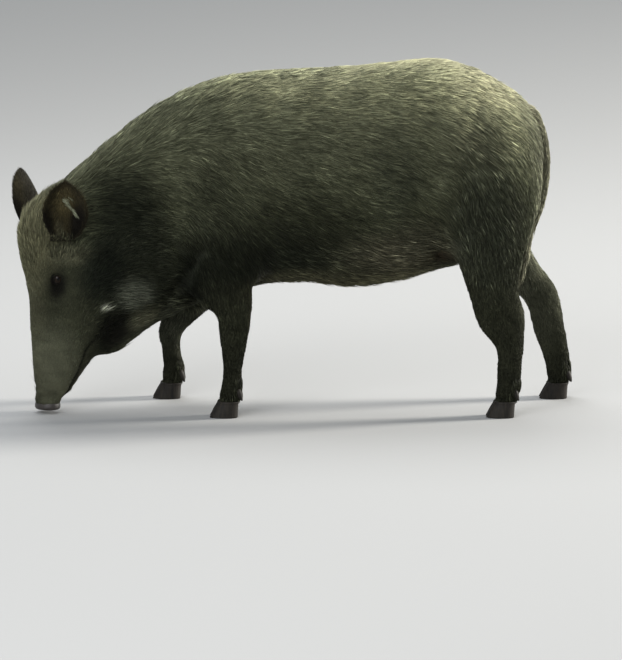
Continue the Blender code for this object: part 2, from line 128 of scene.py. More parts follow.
# The tail's middle line, and its radii fore and aft and sideways.
TAIL = (
    (0.488, 0.000, 0.650, 0.020, 0.022), (0.521, -0.001, 0.645, 0.017, 0.019),
    (0.547, -0.002, 0.612, 0.013, 0.015), (0.558, -0.003, 0.560, 0.012, 0.013),
    (0.5585, -0.004, 0.510, 0.012, 0.013), (0.549, -0.005, 0.455, 0.012, 0.013),
    (0.527, -0.005, 0.395, 0.012, 0.013), (0.515, -0.004, 0.345, 0.011, 0.013),
    (0.508, -0.003, 0.300, 0.004, 0.005),
)
TAIL_AROUND = 18
FLESH = ("head", "neck", "trunk", "leg_front_left", "leg_front_right", "leg_hind_left",
         "leg_hind_right")
# Numbers that tell the skin's regions apart in its "region" attribute.
ON_BODY, ON_TAIL, ON_LIDS = 0, 3, 4
ON_EAR = {1: 1, -1: 2}

# ---------------------------------------------------------------- the coat's guide
# Combing guide on the body: side (0 for both, -1 for the left, 1 for the right), place (x,
# distance from the midline, z), direction the hair points (x, outwards, up), length in
# millimetres and lift in degrees.
BODY_GUIDE = (
    (0, (-0.460, 0.020, 0.550), (0.75, 0.00, 0.62), 32, 11),    # nape
    (0, (-0.340, 0.020, 0.640), (0.85, 0.00, 0.50), 37, 11),    # crest of the neck
    (0, (-0.220, 0.020, 0.705), (0.95, 0.00, 0.28), 37, 10),    # withers
    (0, (0.000, 0.020, 0.745), (1.00, 0.05, 0.00), 34, 8),      # back
    (0, (0.300, 0.020, 0.770), (1.00, 0.05, -0.05), 32, 7),     # loin
    (0, (0.450, 0.030, 0.715), (0.85, 0.00, -0.50), 30, 7),     # croup
    (0, (0.530, 0.050, 0.560), (0.15, 0.10, -1.00), 30, 9),     # rump
    (0, (0.470, 0.050, 0.380), (0.05, 0.00, -1.00), 26, 9),     # between the thighs
    (0, (-0.430, 0.120, 0.430), (0.90, 0.00, -0.05), 34, 10),   # side of the nape
    (0, (-0.330, 0.140, 0.470), (0.93, 0.00, -0.25), 36, 10),   # side of the neck
    (0, (-0.340, 0.120, 0.260), (0.85, 0.00, -0.10), 34, 10),   # lower neck
    (0, (-0.340, 0.020, 0.140), (0.85, 0.00, 0.45), 30, 9),     # throat
    (0, (-0.210, 0.030, 0.230), (0.90, 0.00, 0.10), 30, 9),     # brisket
    (0, (-0.150, 0.165, 0.520), (0.85, 0.00, -0.50), 34, 10),   # shoulder blade
    (0, (-0.150, 0.172, 0.370), (0.50, 0.00, -0.85), 28, 9),    # point of the shoulder
    (0, (0.050, 0.150, 0.640), (0.97, 0.00, -0.22), 36, 9),     # upper ribs
    (0, (0.050, 0.190, 0.480), (0.94, 0.00, -0.33), 34, 9),     # ribs
    (0, (0.050, 0.140, 0.330), (0.96, 0.00, -0.22), 33, 9),     # lower ribs
    (0, (0.100, 0.020, 0.275), (1.00, 0.00, 0.00), 32, 9),      # belly
    (0, (0.260, 0.180, 0.560), (0.93, 0.00, -0.36), 35, 9),     # flank
    (0, (0.270, 0.140, 0.350), (0.95, 0.00, -0.15), 33, 9),     # fold of the flank
    (0, (0.410, 0.150, 0.610), (0.75, 0.00, -0.65), 33, 9),     # hip
    (0, (0.410, 0.168, 0.470), (0.40, 0.00, -0.92), 28, 9),     # thigh
    (-1, (0.430, 0.155, 0.320), (0.15, 0.00, -1.00), 20, 8),    # near gaskin
    (1, (0.480, 0.155, 0.320), (0.50, 0.00, -0.85), 20, 8),     # far gaskin
    (-1, (0.462, 0.130, 0.200), (0.20, 0.00, -1.00), 14, 8),    # near hock
    (1, (0.556, 0.130, 0.210), (0.25, 0.00, -1.00), 14, 8),     # far hock
    (-1, (0.473, 0.120, 0.100), (0.00, 0.00, -1.00), 11, 8),    # near hind cannon
    (1, (0.582, 0.120, 0.100), (0.10, 0.00, -1.00), 11, 8),     # far hind cannon
    (-1, (-0.122, 0.140, 0.250), (0.05, 0.00, -1.00), 18, 8),   # near elbow
    (1, (-0.200, 0.140, 0.250), (-0.40, 0.00, -0.90), 18, 8),   # far elbow
    (-1, (-0.121, 0.125, 0.170), (0.00, 0.00, -1.00), 13, 8),   # near forearm
    (1, (-0.245, 0.125, 0.180), (-0.45, 0.00, -0.85), 13, 8),   # far forearm
    (-1, (-0.124, 0.120, 0.090), (0.00, 0.00, -1.00), 10, 8),   # near cannon
    (1, (-0.260, 0.120, 0.090), (0.00, 0.00, -1.00), 10, 8),    # far cannon
)
# The same on the head: place and direction up the face, out of the forehead and sideways.
HEAD_GUIDE = (
    ((0.020, 0.028, 0.000), (1.00, 0.00, 0.00), 4, 6),      # behind the nose
    ((0.090, 0.038, 0.000), (1.00, 0.00, 0.00), 6, 7),      # bridge
    ((0.180, 0.046, 0.000), (1.00, 0.00, 0.05), 9, 8),      # upper bridge
    ((0.280, 0.062, 0.000), (1.00, 0.00, 0.05), 14, 10),    # between the eyes
    ((0.350, 0.080, 0.000), (1.00, 0.10, 0.00), 22, 14),    # forehead
    ((0.420, 0.070, 0.000), (0.80, -0.60, 0.00), 32, 16),   # crown
    ((0.040, 0.000, 0.034), (1.00, 0.00, 0.00), 4, 6),      # side of the nose
    ((0.100, -0.020, 0.046), (1.00, -0.20, 0.00), 6, 7),    # side of the muzzle
    ((0.090, -0.080, 0.035), (0.90, -0.45, 0.00), 8, 8),    # lip
    ((0.060, -0.060, 0.000), (0.80, -0.60, 0.00), 9, 9),    # chin
    ((0.150, -0.120, 0.040), (0.70, -0.70, 0.00), 14, 9),   # lower jaw
    ((0.180, -0.030, 0.068), (0.90, -0.40, 0.00), 10, 8),   # foot of the cheek
    ((0.230, -0.080, 0.088), (0.60, -0.80, 0.00), 20, 10),  # cheek
    ((0.270, 0.020, 0.068), (1.00, -0.20, 0.00), 7, 7),     # before the eye
    ((0.320, 0.020, 0.076), (1.00, -0.20, 0.00), 10, 8),    # behind the eye
    ((0.350, -0.060, 0.094), (0.60, -0.80, 0.00), 22, 10),  # temple
    ((0.200, -0.150, 0.040), (0.50, -0.85, 0.00), 24, 10),  # angle of the jaw
)
# The mouth's line, up the face and out of the forehead.
MOUTH = (
    (0.014, -0.026), (0.045, -0.038), (0.090, -0.054), (0.135, -0.064), (0.175, -0.071),
    (0.213, -0.080),
)
# Soft forms of the face: place on the head's axes, radius and rise.
FACE_FORMS = (
    (0.312, 0.046, 0.058, 0.022, 0.0045),       # brow
    (0.372, 0.006, 0.100, 0.030, 0.0060),       # foot of the ear
    (0.262, 0.012, 0.062, 0.020, -0.0030),      # hollow before the eye
    (0.255, -0.035, 0.085, 0.028, 0.0035),      # cheek bone
    (0.150, -0.015, 0.052, 0.025, 0.0030),      # root of the upper tusk
    (0.205, 0.030, 0.050, 0.030, -0.0025),      # side of the bridge
)
# Muscles and hollows of the side: x, z, radius and rise.
BODY_FORMS = (
    (-0.150, 0.420, 0.060, 0.0050),     # point of the shoulder
    (-0.070, 0.315, 0.035, -0.0050),    # behind the elbow
    (-0.020, 0.430, 0.050, -0.0030),    # behind the shoulder
    (0.300, 0.520, 0.060, -0.0060),     # hollow of the flank
    (0.365, 0.650, 0.040, 0.0040),      # point of the hip
    (0.430, 0.480, 0.060, 0.0040),      # thigh
    (0.318, 0.345, 0.024, -0.0080),     # under the flank's fold
    (-0.130, 0.560, 0.050, 0.0030),     # shoulder blade
    (-0.270, 0.450, 0.060, -0.0040),    # before the shoulder
)
# Folds of the side, drawn as x and z.
SHOULDER_FOLD = ((-0.195, 0.370), (-0.220, 0.319), (-0.247, 0.277), (-0.271, 0.246))
FLANK_RIDGE = ((0.365, 0.450), (0.343, 0.411), (0.312, 0.380), (0.283, 0.362))
GUIDE_BLUR = 0.018          # distance within which the guide's places blend
DEPTH_PER_LENGTH = 0.24     # depth of the coat as a share of the hair's length
MOUTH_WIDTH, FOLD_WIDTH = 0.0035, 0.018
SWELL = 0.0012              # how far the flesh nodes swell so that the cuts close


# ---------------------------------------------------------------- small tools
def through(rows, steps):
    """A smooth curve through rows of numbers, with `steps` rows for each span."""
    rows = np.asarray(rows, float)
    ends = np.vstack([2 * rows[0] - rows[1], rows, 2 * rows[-1] - rows[-2]])
    share = np.linspace(0, 1, steps, endpoint=False)[:, None]
    made = []
    for i in range(len(rows) - 1):
        a, b, c, d = ends[i:i + 4]
        curve = 2 * b + (c - a) * share + (2 * a - 5 * b + 4 * c - d) * share ** 2
        made.append(0.5 * (curve + (3 * b - a - 3 * c + d) * share ** 3))
    return np.vstack(made + [rows[-1:]])


def unit(vectors):
    """The vectors at length 1."""
    return vectors / np.maximum(np.linalg.norm(vectors, axis=-1, keepdims=True), 1e-12)


def fade(value, start, end):
    """0 at start, 1 at end, smooth between; start may be the larger."""
    share = np.clip((value - start) / (end - start), 0.0, 1.0)
    return share * share * (3.0 - 2.0 * share)


def bell(value, width):
    """1 at 0, falling off on both sides as the exponential of the square."""
    return np.exp(-(value / width) ** 2)


def full_turn(count):
    """Equal angles round a full turn."""
    return np.linspace(0, 2 * math.pi, count, endpoint=False)


def head_point(along, dorsal, left):
    """Places given up the face, out of the forehead and to the left, in the row's frame."""
    parts = np.stack(np.broadcast_arrays(along, dorsal, left), -1)
    return SNOUT_TIP + SHIFT + parts @ HEAD_AXES


def head_parts(points):
    """The head's own coordinates of points in the row's frame."""
    return (points - SNOUT_TIP - SHIFT) @ np.linalg.inv(HEAD_AXES)


def mesh_object(name, points, faces):
    """A new smooth object from an array of points and an array of triangles or quads."""
    mesh = bpy.data.meshes.new(name)
    count, sides = faces.shape
    mesh.vertices.add(len(points))
    mesh.vertices.foreach_set("co", np.ascontiguousarray(points, np.float32).ravel())
    mesh.loops.add(count * sides)
    mesh.loops.foreach_set("vertex_index", np.ascontiguousarray(faces, np.int32).ravel())
    mesh.polygons.add(count)
    mesh.polygons.foreach_set("loop_start", np.arange(0, count * sides, sides, dtype=np.int32))
    mesh.update(calc_edges=True)
    mesh.polygons.foreach_set("use_smooth", np.full(count, True))
    return in_scene(bpy.data.objects.new(name, mesh))


def closed_form(mesh, grow=None):
    """Runs grow() on the mesh as an editable form and turns all its faces outwards."""
    form = bmesh.new()
    form.from_mesh(mesh)
    if grow:
        grow(form)
    bmesh.ops.recalc_face_normals(form, faces=form.faces)
    form.to_mesh(mesh)
    form.free()


def in_scene(made):
    """Links an object into the scene and gives it back."""
    bpy.context.scene.collection.objects.link(made)
    return made


def read(rows, field, width, kind=np.float32):
    """A field of a mesh's rows as an array of the given width."""
    values = np.empty(len(rows) * width, kind)
    rows.foreach_get(field, values)
    return values.reshape(-1, width) if width > 1 else values


def points_of(mesh):
    """The mesh's points as an array."""
    return read(mesh.vertices, "co", 3).astype(float)


def put_points(mesh, points):
    """Moves the mesh's points to the rows of an array."""
    mesh.vertices.foreach_set("co", points.astype(np.float32).ravel())


def triangles_of(mesh):
    """Triangle corners as point numbers and as loop numbers."""
    mesh.calc_loop_triangles()
    rows = mesh.loop_triangles
    return read(rows, "vertices", 3, np.int32), read(rows, "loops", 3, np.int32)


def normals_of(points, triangles):
    """Normals at the points: the sum of the cross products of the triangles round each."""
    a, b, c = (points[triangles[:, i]] for i in range(3))
    cross = np.cross(b - a, c - a)
    total = np.zeros_like(points)
    for i in range(3):
        for axis in range(3):
            total[:, axis] += np.bincount(triangles[:, i], cross[:, axis], len(points))
    return unit(total)


def soften(mesh, points, rounds, weight):
    """Moves each point part of the way to the mean of its neighbours, several times."""
    edges = read(mesh.edges, "vertices", 2, np.int32)
    ends = np.concatenate([edges, edges[:, ::-1]])
    share = np.maximum(np.bincount(ends[:, 0], minlength=len(points)), 1)[:, None]
    for _ in range(rounds):
        total = np.stack([np.bincount(ends[:, 0], points[ends[:, 1], axis], len(points))
                          for axis in range(3)], 1)
        points = points + weight[:, None] * (total / share - points)
    return points


def waves(points, size, seed):
    """A smooth random value in -1..1: seven sine waves of about one length in turned axes."""
    draw = np.random.default_rng(seed)
    total = np.zeros(len(points))
    for _ in range(7):
        way = unit(draw.normal(size=3)) * (2 * math.pi / size) * draw.uniform(0.6, 1.5)
        total += np.sin(points @ way + draw.uniform(0, 2 * math.pi))
    return total / 4.0


def put_values(mesh, name, kind, values):
    """Writes one value per point as a named attribute."""
    layer = mesh.attributes.new(name, kind, "POINT")
    field = {"FLOAT_COLOR": "color", "FLOAT_VECTOR": "vector"}.get(kind, "value")
    layer.data.foreach_set(field, np.ascontiguousarray(values, np.float32).ravel())


def opaque(colours):
    """Colours with a last column of ones."""
    return np.concatenate([colours, np.ones((*colours.shape[:-1], 1))], -1)


def values_of(mesh, name, width):
    """Reads a named attribute back, one row of the given width for each point."""
    return read(mesh.attributes[name].data, "vector" if width == 3 else "value", width)


def furrow(path, width, first, second):
    """1 on a path drawn in a side view, falling off as a bell over the width."""
    gaps = np.full(len(first), 1.0)
    for row in through(path, 8):
        gaps = np.minimum(gaps, (first - row[0]) ** 2 + (second - row[1]) ** 2)
    return np.exp(-gaps / width ** 2)


def tube_quads(rings, around, joined=False):
    """Quads between equal rings that are numbered one after another; where joined, the
    last ring meets the first."""
    i, j = np.meshgrid(np.arange(rings - (not joined)), np.arange(around), indexing="ij")
    after, k = (i + 1) % rings * around, (j + 1) % around
    i = i * around
    return np.stack([i + j, i + k, after + k, after + j], -1).reshape(-1, 4)


def capped(rings):
    """A closed surface over equal rings, with a middle point in each end, in triangles."""
    steps, around, _ = rings.shape
    points = np.vstack([rings.reshape(-1, 3), rings[0].mean(0), rings[-1].mean(0)])
    quads = tube_quads(steps, around)
    walls = np.vstack([quads[:, (0, 1, 2)], quads[:, (0, 2, 3)]])
    i = np.arange(around)
    j = (i + 1) % around
    first = np.stack([j, i, np.full(around, steps * around)], 1)
    top = (steps - 1) * around
    last = np.stack([top + i, top + j, np.full(around, steps * around + 1)], 1)
    return points, np.vstack([walls, first, last])


# ---------------------------------------------------------------- combing guide
def guide_rows():
    """All guide places in the row's frame: points, directions, lengths and lifts."""
    rows = []
    for side, place, way, length, lift in BODY_GUIDE:
        for y in ((-1, 1) if side == 0 else (side,)):
            mirror = np.array((1, y, 1))
            rows.append((place * mirror + SHIFT, way * mirror, length, lift))
    for place, way, length, lift in HEAD_GUIDE:
        for y in (-1, 1):
            mirror = np.array((1, 1, y))
            rows.append((head_point(*(place * mirror)), (way * mirror) @ HEAD_AXES, length, lift))
    places, ways, lengths, lifts = (np.array(column) for column in zip(*rows))
    return places, unit(ways), lengths / 1000, np.radians(lifts)


def guide_at(points):
    """Direction, length and lift of the coat at points, by inverse distance to the guide."""
    places, ways, lengths, lifts = guide_rows()
    away = ((points[:, None, :] - places[None]) ** 2).sum(-1)
    share = 1.0 / (away + GUIDE_BLUR ** 2) ** 2
    share /= share.sum(1, keepdims=True)
    return share @ ways, share @ lengths, share @ lifts


def in_blocks(function, points, size=40000):
    """Runs a function of points in blocks, to keep its tables small."""
    parts = [function(points[i:i + size]) for i in range(0, len(points), size)]
    return [np.concatenate(column) for column in zip(*parts)]


# ---------------------------------------------------------------- skin
def joined_flesh():
    """The flesh nodes as one object, each swollen a little so that the cuts close."""
    shells = []
    for name in FLESH:
        mesh = frame["nodes"][name].data
        welded, back = np.unique(np.round(points_of(mesh), 6), axis=0, return_inverse=True)
        corners = back.ravel()[triangles_of(mesh)[0]]
        shells.append((welded + normals_of(welded, corners) * SWELL, corners))
    shells += [ellipsoid(*plug) for plug in plugs()]
    starts = np.cumsum([0] + [len(points) for points, _ in shells[:-1]])
    faces = [corners + start for (_, corners), start in zip(shells, starts)]
    return mesh_object("flesh", np.vstack([points for points, _ in shells]), np.vstack(faces))


def plugs():
    """Flat ellipsoids that fill the pockets of the ears and the tail up to the skin round
    them: middle, outward way, depth and width."""
    made = []
    for hand in HANDS:
        out = unit(np.array((0.0, 0.59, 0.81 * hand)) @ HEAD_AXES)
        made.append((head_point(0.358, 0.000, 0.0915 * hand) - out * 0.016, out, 0.0150, 0.032))
    out = unit(np.array((0.857, 0.0, 0.514)))
    made.append((np.array((0.515, 0.0, 0.644)) + SHIFT - out * 0.017, out, 0.0155, 0.027))
    return made


def ellipsoid(middle, out, deep, wide):
    """Rings round the outward axis: cosine of the tilt along it, sine of the tilt across."""
    tilt = np.linspace(0, math.pi, 18)[1:-1, None]
    turn = full_turn(28)[None]
    first = unit(np.cross(out, (0.3, 0.8, 0.5)))
    second = np.cross(out, first)
    rings = middle + out * (deep * np.cos(tilt) + 0 * turn)[..., None] \
        + first * (wide * np.sin(tilt) * np.cos(turn))[..., None] \
        + second * (wide * np.sin(tilt) * np.sin(turn))[..., None]
    return capped(rings)


def refined(mesh, *rounds):
    """Splits the edges whose ends are both picked, once for each picking function of
    points, and keeps the mesh closed."""
    form = bmesh.new()
    form.from_mesh(mesh)
    for near in rounds:
        form.verts.index_update()
        near_it = near(np.array([vertex.co[:] for vertex in form.verts]))
        edges = [edge for edge in form.edges if all(near_it[end.index] for end in edge.verts)]
        bmesh.ops.subdivide_edges(form, edges=edges, cuts=1, use_grid_fill=True)
    form.to_mesh(mesh)
    form.free()


def sculpted(points, normals):
    """Raises and sinks the skin along its normals: brows, cheeks, mouth and nose on the
    head, muscles and folds on the body; each form is a bell round its place."""
    parts = head_parts(points)
    along, dorsal, side = parts[:, 0], parts[:, 1], np.abs(parts[:, 2])
    in_head = fade(along, 0.50, 0.46) * fade(dorsal, -0.20, -0.17)
    rise = np.zeros(len(points))

    for a, d, s, radius, height in FACE_FORMS:
        away = (along - a) ** 2 + (dorsal - d) ** 2 + (side - s) ** 2
        rise += height * np.exp(-away / radius ** 2)
    # the mouth's furrow, the chin's step behind the nose, the nose's flare and its wrinkles
    rise -= 0.0055 * furrow(MOUTH, MOUTH_WIDTH, along, dorsal) * fade(side, 0.004, 0.014)
    rise -= 0.0045 * fade(along, 0.036, 0.016) * fade(dorsal, -0.014, -0.026)
    rise += 0.0012 * fade(along, 0.026, 0.006) * fade(dorsal, -0.020, -0.008)
    wrinkles = bell(along - 0.028, 0.005) + bell(along - 0.045, 0.006)
    rise -= 0.0012 * wrinkles * fade(dorsal, -0.02, 0.01)
    rise *= in_head
    body = points - SHIFT
    out = fade(np.abs(body[:, 1]), 0.03, 0.09)
    for x, z, radius, height in BODY_FORMS:
        gap = (body[:, 0] - x) ** 2 + (body[:, 2] - z) ** 2
        rise += height * np.exp(-gap / radius ** 2) * out
    left_side = fade(body[:, 1], -0.02, -0.06)
    rise -= 0.006 * furrow(SHOULDER_FOLD, FOLD_WIDTH, body[:, 0], body[:, 2]) * left_side
    rise += 0.0025 * furrow(FLANK_RIDGE, FOLD_WIDTH, body[:, 0], body[:, 2]) * out
    return eyes_opened(points + normals * rise[:, None])


def eyes_opened(points):
    """Wraps the skin round each eyeball and sinks it behind the ball inside the slit: an
    ellipse that is a little higher at its front."""
    for hand in HANDS:
        centre, axes = eye_frame(hand)
        local = (points - centre) @ axes.T          # out of the eye, along its slit, upwards
        away = np.linalg.norm(local, axis=1)
        across = local[:, 1] / SLIT_HALF
        open_half = SLIT_OPEN * np.sqrt(np.clip(1.0 - across ** 2, 0, 1)) * (1.0 - 0.15 * across)
        lid = np.abs(local[:, 2]) - open_half
        ball = EYE_RADIUS + 0.0012 + 0.0010 * bell(lid - 0.002, 0.003)
        wrap = fade(away, 0.026, 0.014) * fade(local[:, 0], -0.004, 0.003)
        target = unit(local) * ball[:, None]
        inside = (lid < 0.0004) & (np.abs(across) < 1.0) & (local[:, 0] > 0)
        target[inside] = unit(local[inside]) * (EYE_RADIUS - 0.0035)
        local = local + (target - local) * wrap[:, None]
        moved = centre + local @ axes
        points = np.where((wrap > 0)[:, None], moved, points)
    return points


def eye_frame(hand):
    """An eye's middle and its axes: out of the eye, along the slit, and to the upper lid."""
    out = unit(np.array((0.02, 0.30, 0.95 * hand)) @ HEAD_AXES)
    centre = head_point(EYE_PLACE[0], EYE_PLACE[1], EYE_PLACE[2] * hand) - out * EYE_SINK
    slit = np.array((0.96, -0.28, 0.0)) @ HEAD_AXES
    slit = unit(slit - out * (slit @ out))
    upper = np.cross(out, slit) * hand
    return centre, np.array((out, slit, upper))


def ear_frame(hand):
    """An ear's root and its axes: to the tip, across from front to back, out of the cup."""
    mirror = np.array((1, 1, hand))
    axis = unit((EAR_AXES[hand] * mirror) @ HEAD_AXES)
    across = (EAR_ACROSS * mirror) @ HEAD_AXES
    across = unit(across - axis * (across @ axis))
    out = unit(np.cross(across, axis)) * hand
    return head_point(*(EAR_ROOTS[hand] * mirror)), axis, across, out


def ear_profile(share):
    """Half width, depth of the back and depth of the hollow at shares of the length."""
    profile = through(EAR_PROFILE, 12)
    return (np.interp(share, profile[:, 0], profile[:, i]) for i in (1, 2, 3))


def ear_parts(points, hand):
    """Where points stand on an ear: share of its length, distance across and out."""
    root, axis, across, out = ear_frame(hand)
    local = points - root
    return (local @ axis) / EAR_LENGTH, local @ across, local @ out


def ear_surface(hand, share, spread, face):
    """Points of an ear's skin from its share of the length, its spread across in -1..1
    and its face (-1 back, 1 hollow). The back is a parabola deepest in the middle and the
    hollow a shallower one, with two soft ridges in it; the rims curl a little forwards."""
    root, axis, across, out = ear_frame(hand)
    half, cup, hollow = ear_profile(share)
    half = (half - 0.0028) * (1.0 if hand > 0 else 0.92)
    sunk = EAR_SINK * np.maximum(0.0, 0.20 - share) ** 2
    thick = 0.0040 * (1.0 - 0.55 * spread ** 2) * (1.0 - 0.30 * np.maximum(share, 0))
    rise = 1.0 - spread ** 2
    ridges = 0.0022 * bell(spread - 0.25, 0.13) + 0.0018 * bell(spread + 0.30, 0.12)
    ridges = ridges * fade(share, 0.05, 0.25) * fade(share, 0.85, 0.55)
    level = np.where(face > 0, hollow * rise - thick / 2 - ridges, cup * rise + thick / 2)
    curl = 0.004 * fade(np.abs(spread), 0.75, 1.0) * fade(share, 0.1, 0.4)
    middle = root + axis * (EAR_LENGTH * share)[..., None]
    middle = middle + out * (EAR_LEAN * share ** 2 + curl - level)[..., None]
    middle = middle - LEFT * (hand * sunk)[..., None]
    return middle + across * (half * spread)[..., None]


def ear_grid(hand, steps=44, across=18):
    """An ear's skin: both faces as a ring of points at each step. Gives the points, the
    quads and the number of points in a ring."""
    share = np.linspace(-0.05, 0.992, steps)
    turn = np.linspace(-1, 1, across)
    spread = np.sin(turn * math.pi / 2)
    spread = np.concatenate([spread, spread[::-1][1:-1]])
    face = np.concatenate([-np.ones(across), np.ones(across - 2)])
    grid = ear_surface(hand, share[:, None] + 0 * spread, spread[None] + 0 * share[:, None],
                       face[None] + 0 * share[:, None])
    quads = tube_quads(steps, len(spread))
    if hand < 0:
        quads = quads[:, ::-1]
    return grid.reshape(-1, 3), quads, len(spread)


def tube(path, deep, wide, around):
    """An oval tube along a path, with radii fore and aft and sideways at each step."""
    along = unit(np.gradient(path, axis=0))
    fore = unit(np.cross(np.array((0.0, 1.0, 0.0)), along))
    side = np.cross(along, fore)
    angles = full_turn(around)
    ring = np.cos(angles)[None, :, None] * fore[:, None] * deep[:, None, None] \
        + np.sin(angles)[None, :, None] * side[:, None] * wide[:, None, None]
    return (path[:, None] + ring).reshape(-1, 3), tube_quads(len(path), around)


def tail_rows():
    """The tail's middle line and radii, with its upper half set closer to the rump."""
    rows = through(TAIL, 8)
    share = np.linspace(0, 1, len(rows))
    rows[:, 0] -= 0.008 * fade(share, 0.05, 0.25)
    rows[:, :3] += SHIFT
    return rows


def grown_parts():
    """Ears, tail and lids: points, quads, number of points in an open end's ring, region,
    combing way, hair length and lift of each."""
    made = []
    for hand in HANDS:
        points, quads, ring = ear_grid(hand)
        _, axis, across, _ = ear_frame(hand)
        spread = ((points - points.mean(0)) @ across) / 0.05
        way = unit(axis[None] + across[None] * spread[:, None] * 0.35)
        made.append((points, quads, ring, ON_EAR[hand], way, 0.011, 0.20))
    rows = tail_rows()
    radii = rows[:, 3:] * 0.72
    points, quads = tube(rows[:, :3], radii[:, 0], radii[:, 1], TAIL_AROUND)
    way = np.repeat(unit(np.gradient(rows[:, :3], axis=0)), TAIL_AROUND, axis=0)
    share = np.repeat(np.linspace(0, 1, len(rows)), TAIL_AROUND)
    length = 0.016 + 0.030 * fade(share, 0.55, 0.95)
    made.append((points, quads, TAIL_AROUND, ON_TAIL, way, length, 0.16))
    for hand in HANDS:
        points, quads, way, length = lid_ring(hand)
        made.append((points, quads, 0, ON_LIDS, way, length, 0.12))
    return made


def lid_ring(hand, around=56, section=12):
    """Both lids of an eye as one closed ring: an almond round the ball's front, with an
    oval section that is thick over the eye and thin under it."""
    centre, axes = eye_frame(hand)
    turn = full_turn(around)
    slit = np.cos(turn) * LID_HALF
    lift = np.sin(turn) * LID_OPEN * (1.0 - 0.18 * np.cos(turn))
    lift = np.where(lift > 0, lift * 0.92, lift)
    thick = 0.0012 + 0.0007 * fade(np.sin(turn), -0.2, 0.7)
    wide = 0.0034 + 0.0012 * fade(np.sin(turn), -0.2, 0.7)
    ahead = np.sqrt(np.maximum(EYE_RADIUS ** 2 - slit ** 2 - lift ** 2, 1e-8))
    rim = np.stack([ahead, slit, lift], 1)
    outwards = unit(rim)
    along = unit(np.roll(rim, -1, axis=0) - np.roll(rim, 1, axis=0))
    away = unit(np.cross(outwards, along))
    away *= np.sign((away * np.stack([0 * slit, slit, lift], 1)).sum(1))[:, None]
    spin = full_turn(section)
    middle = rim + away * (wide * 0.92)[:, None] + outwards * 0.0006
    middle = unit(middle) * (EYE_RADIUS + 0.0004)
    ring = middle[:, None] + away[:, None] * np.cos(spin)[None, :, None] * wide[:, None, None] \
        + outwards[:, None] * np.sin(spin)[None, :, None] * thick[:, None, None]
    ring = centre + ring.reshape(-1, 3) @ axes
    hair = np.tile(0.0034 * fade(np.cos(spin), -0.10, 0.30), around)
    way = np.repeat(away, section, axis=0) @ axes
    return ring, tube_quads(around, section, joined=True), way, hair


def fused_flesh(settings):
    """The flesh nodes fused by a voxel remesh, softened, and finer on the face."""
    flesh = joined_flesh()
    fuse = flesh.modifiers.new("fuse", "REMESH")
    fuse.mode = "VOXEL"
    fuse.voxel_size = settings.cell
    shown = flesh.evaluated_get(bpy.context.evaluated_depsgraph_get())
    mesh = bpy.data.meshes.new_from_object(shown)
    bpy.data.objects.remove(flesh, do_unlink=True)
    points = points_of(mesh)
    parts = head_parts(points)
    feet = fade(points[:, 2], 0.30, 0.20)
    face = fade(parts[:, 0], 0.30, 0.20) * fade(parts[:, 1], -0.20, -0.16)
    nose = fade(parts[:, 0], 0.06, 0.02) * fade(parts[:, 1], -0.10, -0.06)
    weight = 0.5 * (1.0 - 0.72 * np.maximum(feet, face)) * (1.0 - 0.7 * nose)
    put_points(mesh, soften(mesh, points, settings.smoothing, weight))
    eyes = [eye_frame(hand)[0] for hand in HANDS]

    def near_face(places):
        """The points of the face, the jaws and the nose."""
        local = head_parts(places)
        return (local[:, 0] < 0.36) & (local[:, 1] > -0.19) & (local[:, 0] > -0.05)

    def near_details(places):
        """The points of the nose and round the eyes."""
        local = head_parts(places)
        near = (local[:, 0] < 0.06) & (local[:, 1] > -0.15)
        for eye in eyes:
            near |= ((places - eye) ** 2).sum(1) < 0.030 ** 2
        return near

    refined(mesh, near_face, near_details)
    return mesh


def build_skin(settings):
    """One skin: the flesh fused and smoothed, set in by the coat's depth, with folds,
    ears, tail and lids added from their own formulas."""
    mesh = fused_flesh(settings)
    points = points_of(mesh)
    corners, _ = triangles_of(mesh)
    points = soften(mesh, points, 3, np.full(len(points), 0.4))
    normals = normals_of(points, corners)
    ways, lengths, lifts = in_blocks(guide_at, points)
    slim = fade(points[:, 2], 0.30, 0.20)
    points = points - normals * (lengths * DEPTH_PER_LENGTH * (1 - 0.5 * slim))[:, None]
    put_points(mesh, sculpted(points, normals_of(points, corners)))
    grown = grown_parts()

    def grow(form):
        """Adds the grown parts' points and quads, and closes open ends."""
        for grid, quads, ring, *_ in grown:
            placed = [form.verts.new(point) for point in grid]
            for quad in quads:
                form.faces.new([placed[i] for i in quad])
            if ring:
                form.faces.new(placed[:ring][::-1])
                form.faces.new(placed[-ring:])

    closed_form(mesh, grow)
    mesh.polygons.foreach_set("use_smooth", np.full(len(mesh.polygons), True))
    mesh.name = "skin"
    skin = in_scene(bpy.data.objects.new("skin", mesh))

    def joined(first, column):
        """The flesh's values with those of the grown parts, which may be one number."""
        shape = first.shape[1:]
        return np.concatenate([first] + [np.broadcast_to(part[column], (len(part[0]), *shape))
                                         for part in grown])

    region = joined(np.full(len(points), float(ON_BODY)), 3)
    put_values(mesh, "comb", "FLOAT_VECTOR", joined(ways, 4))
    put_values(mesh, "hair_length", "FLOAT", joined(lengths, 5))
    put_values(mesh, "hair_lift", "FLOAT", joined(lifts, 6))
    put_values(mesh, "region", "FLOAT", region)
    put_values(mesh, "coat_colour", "FLOAT_COLOR", opaque(coat_colour_and_painted_light(points_of(mesh), region)))
    unwrap(skin)
    mesh.materials.append(skin_material())
    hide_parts(*FLESH, "ear_left", "ear_right", "tail")
    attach(skin, "root")


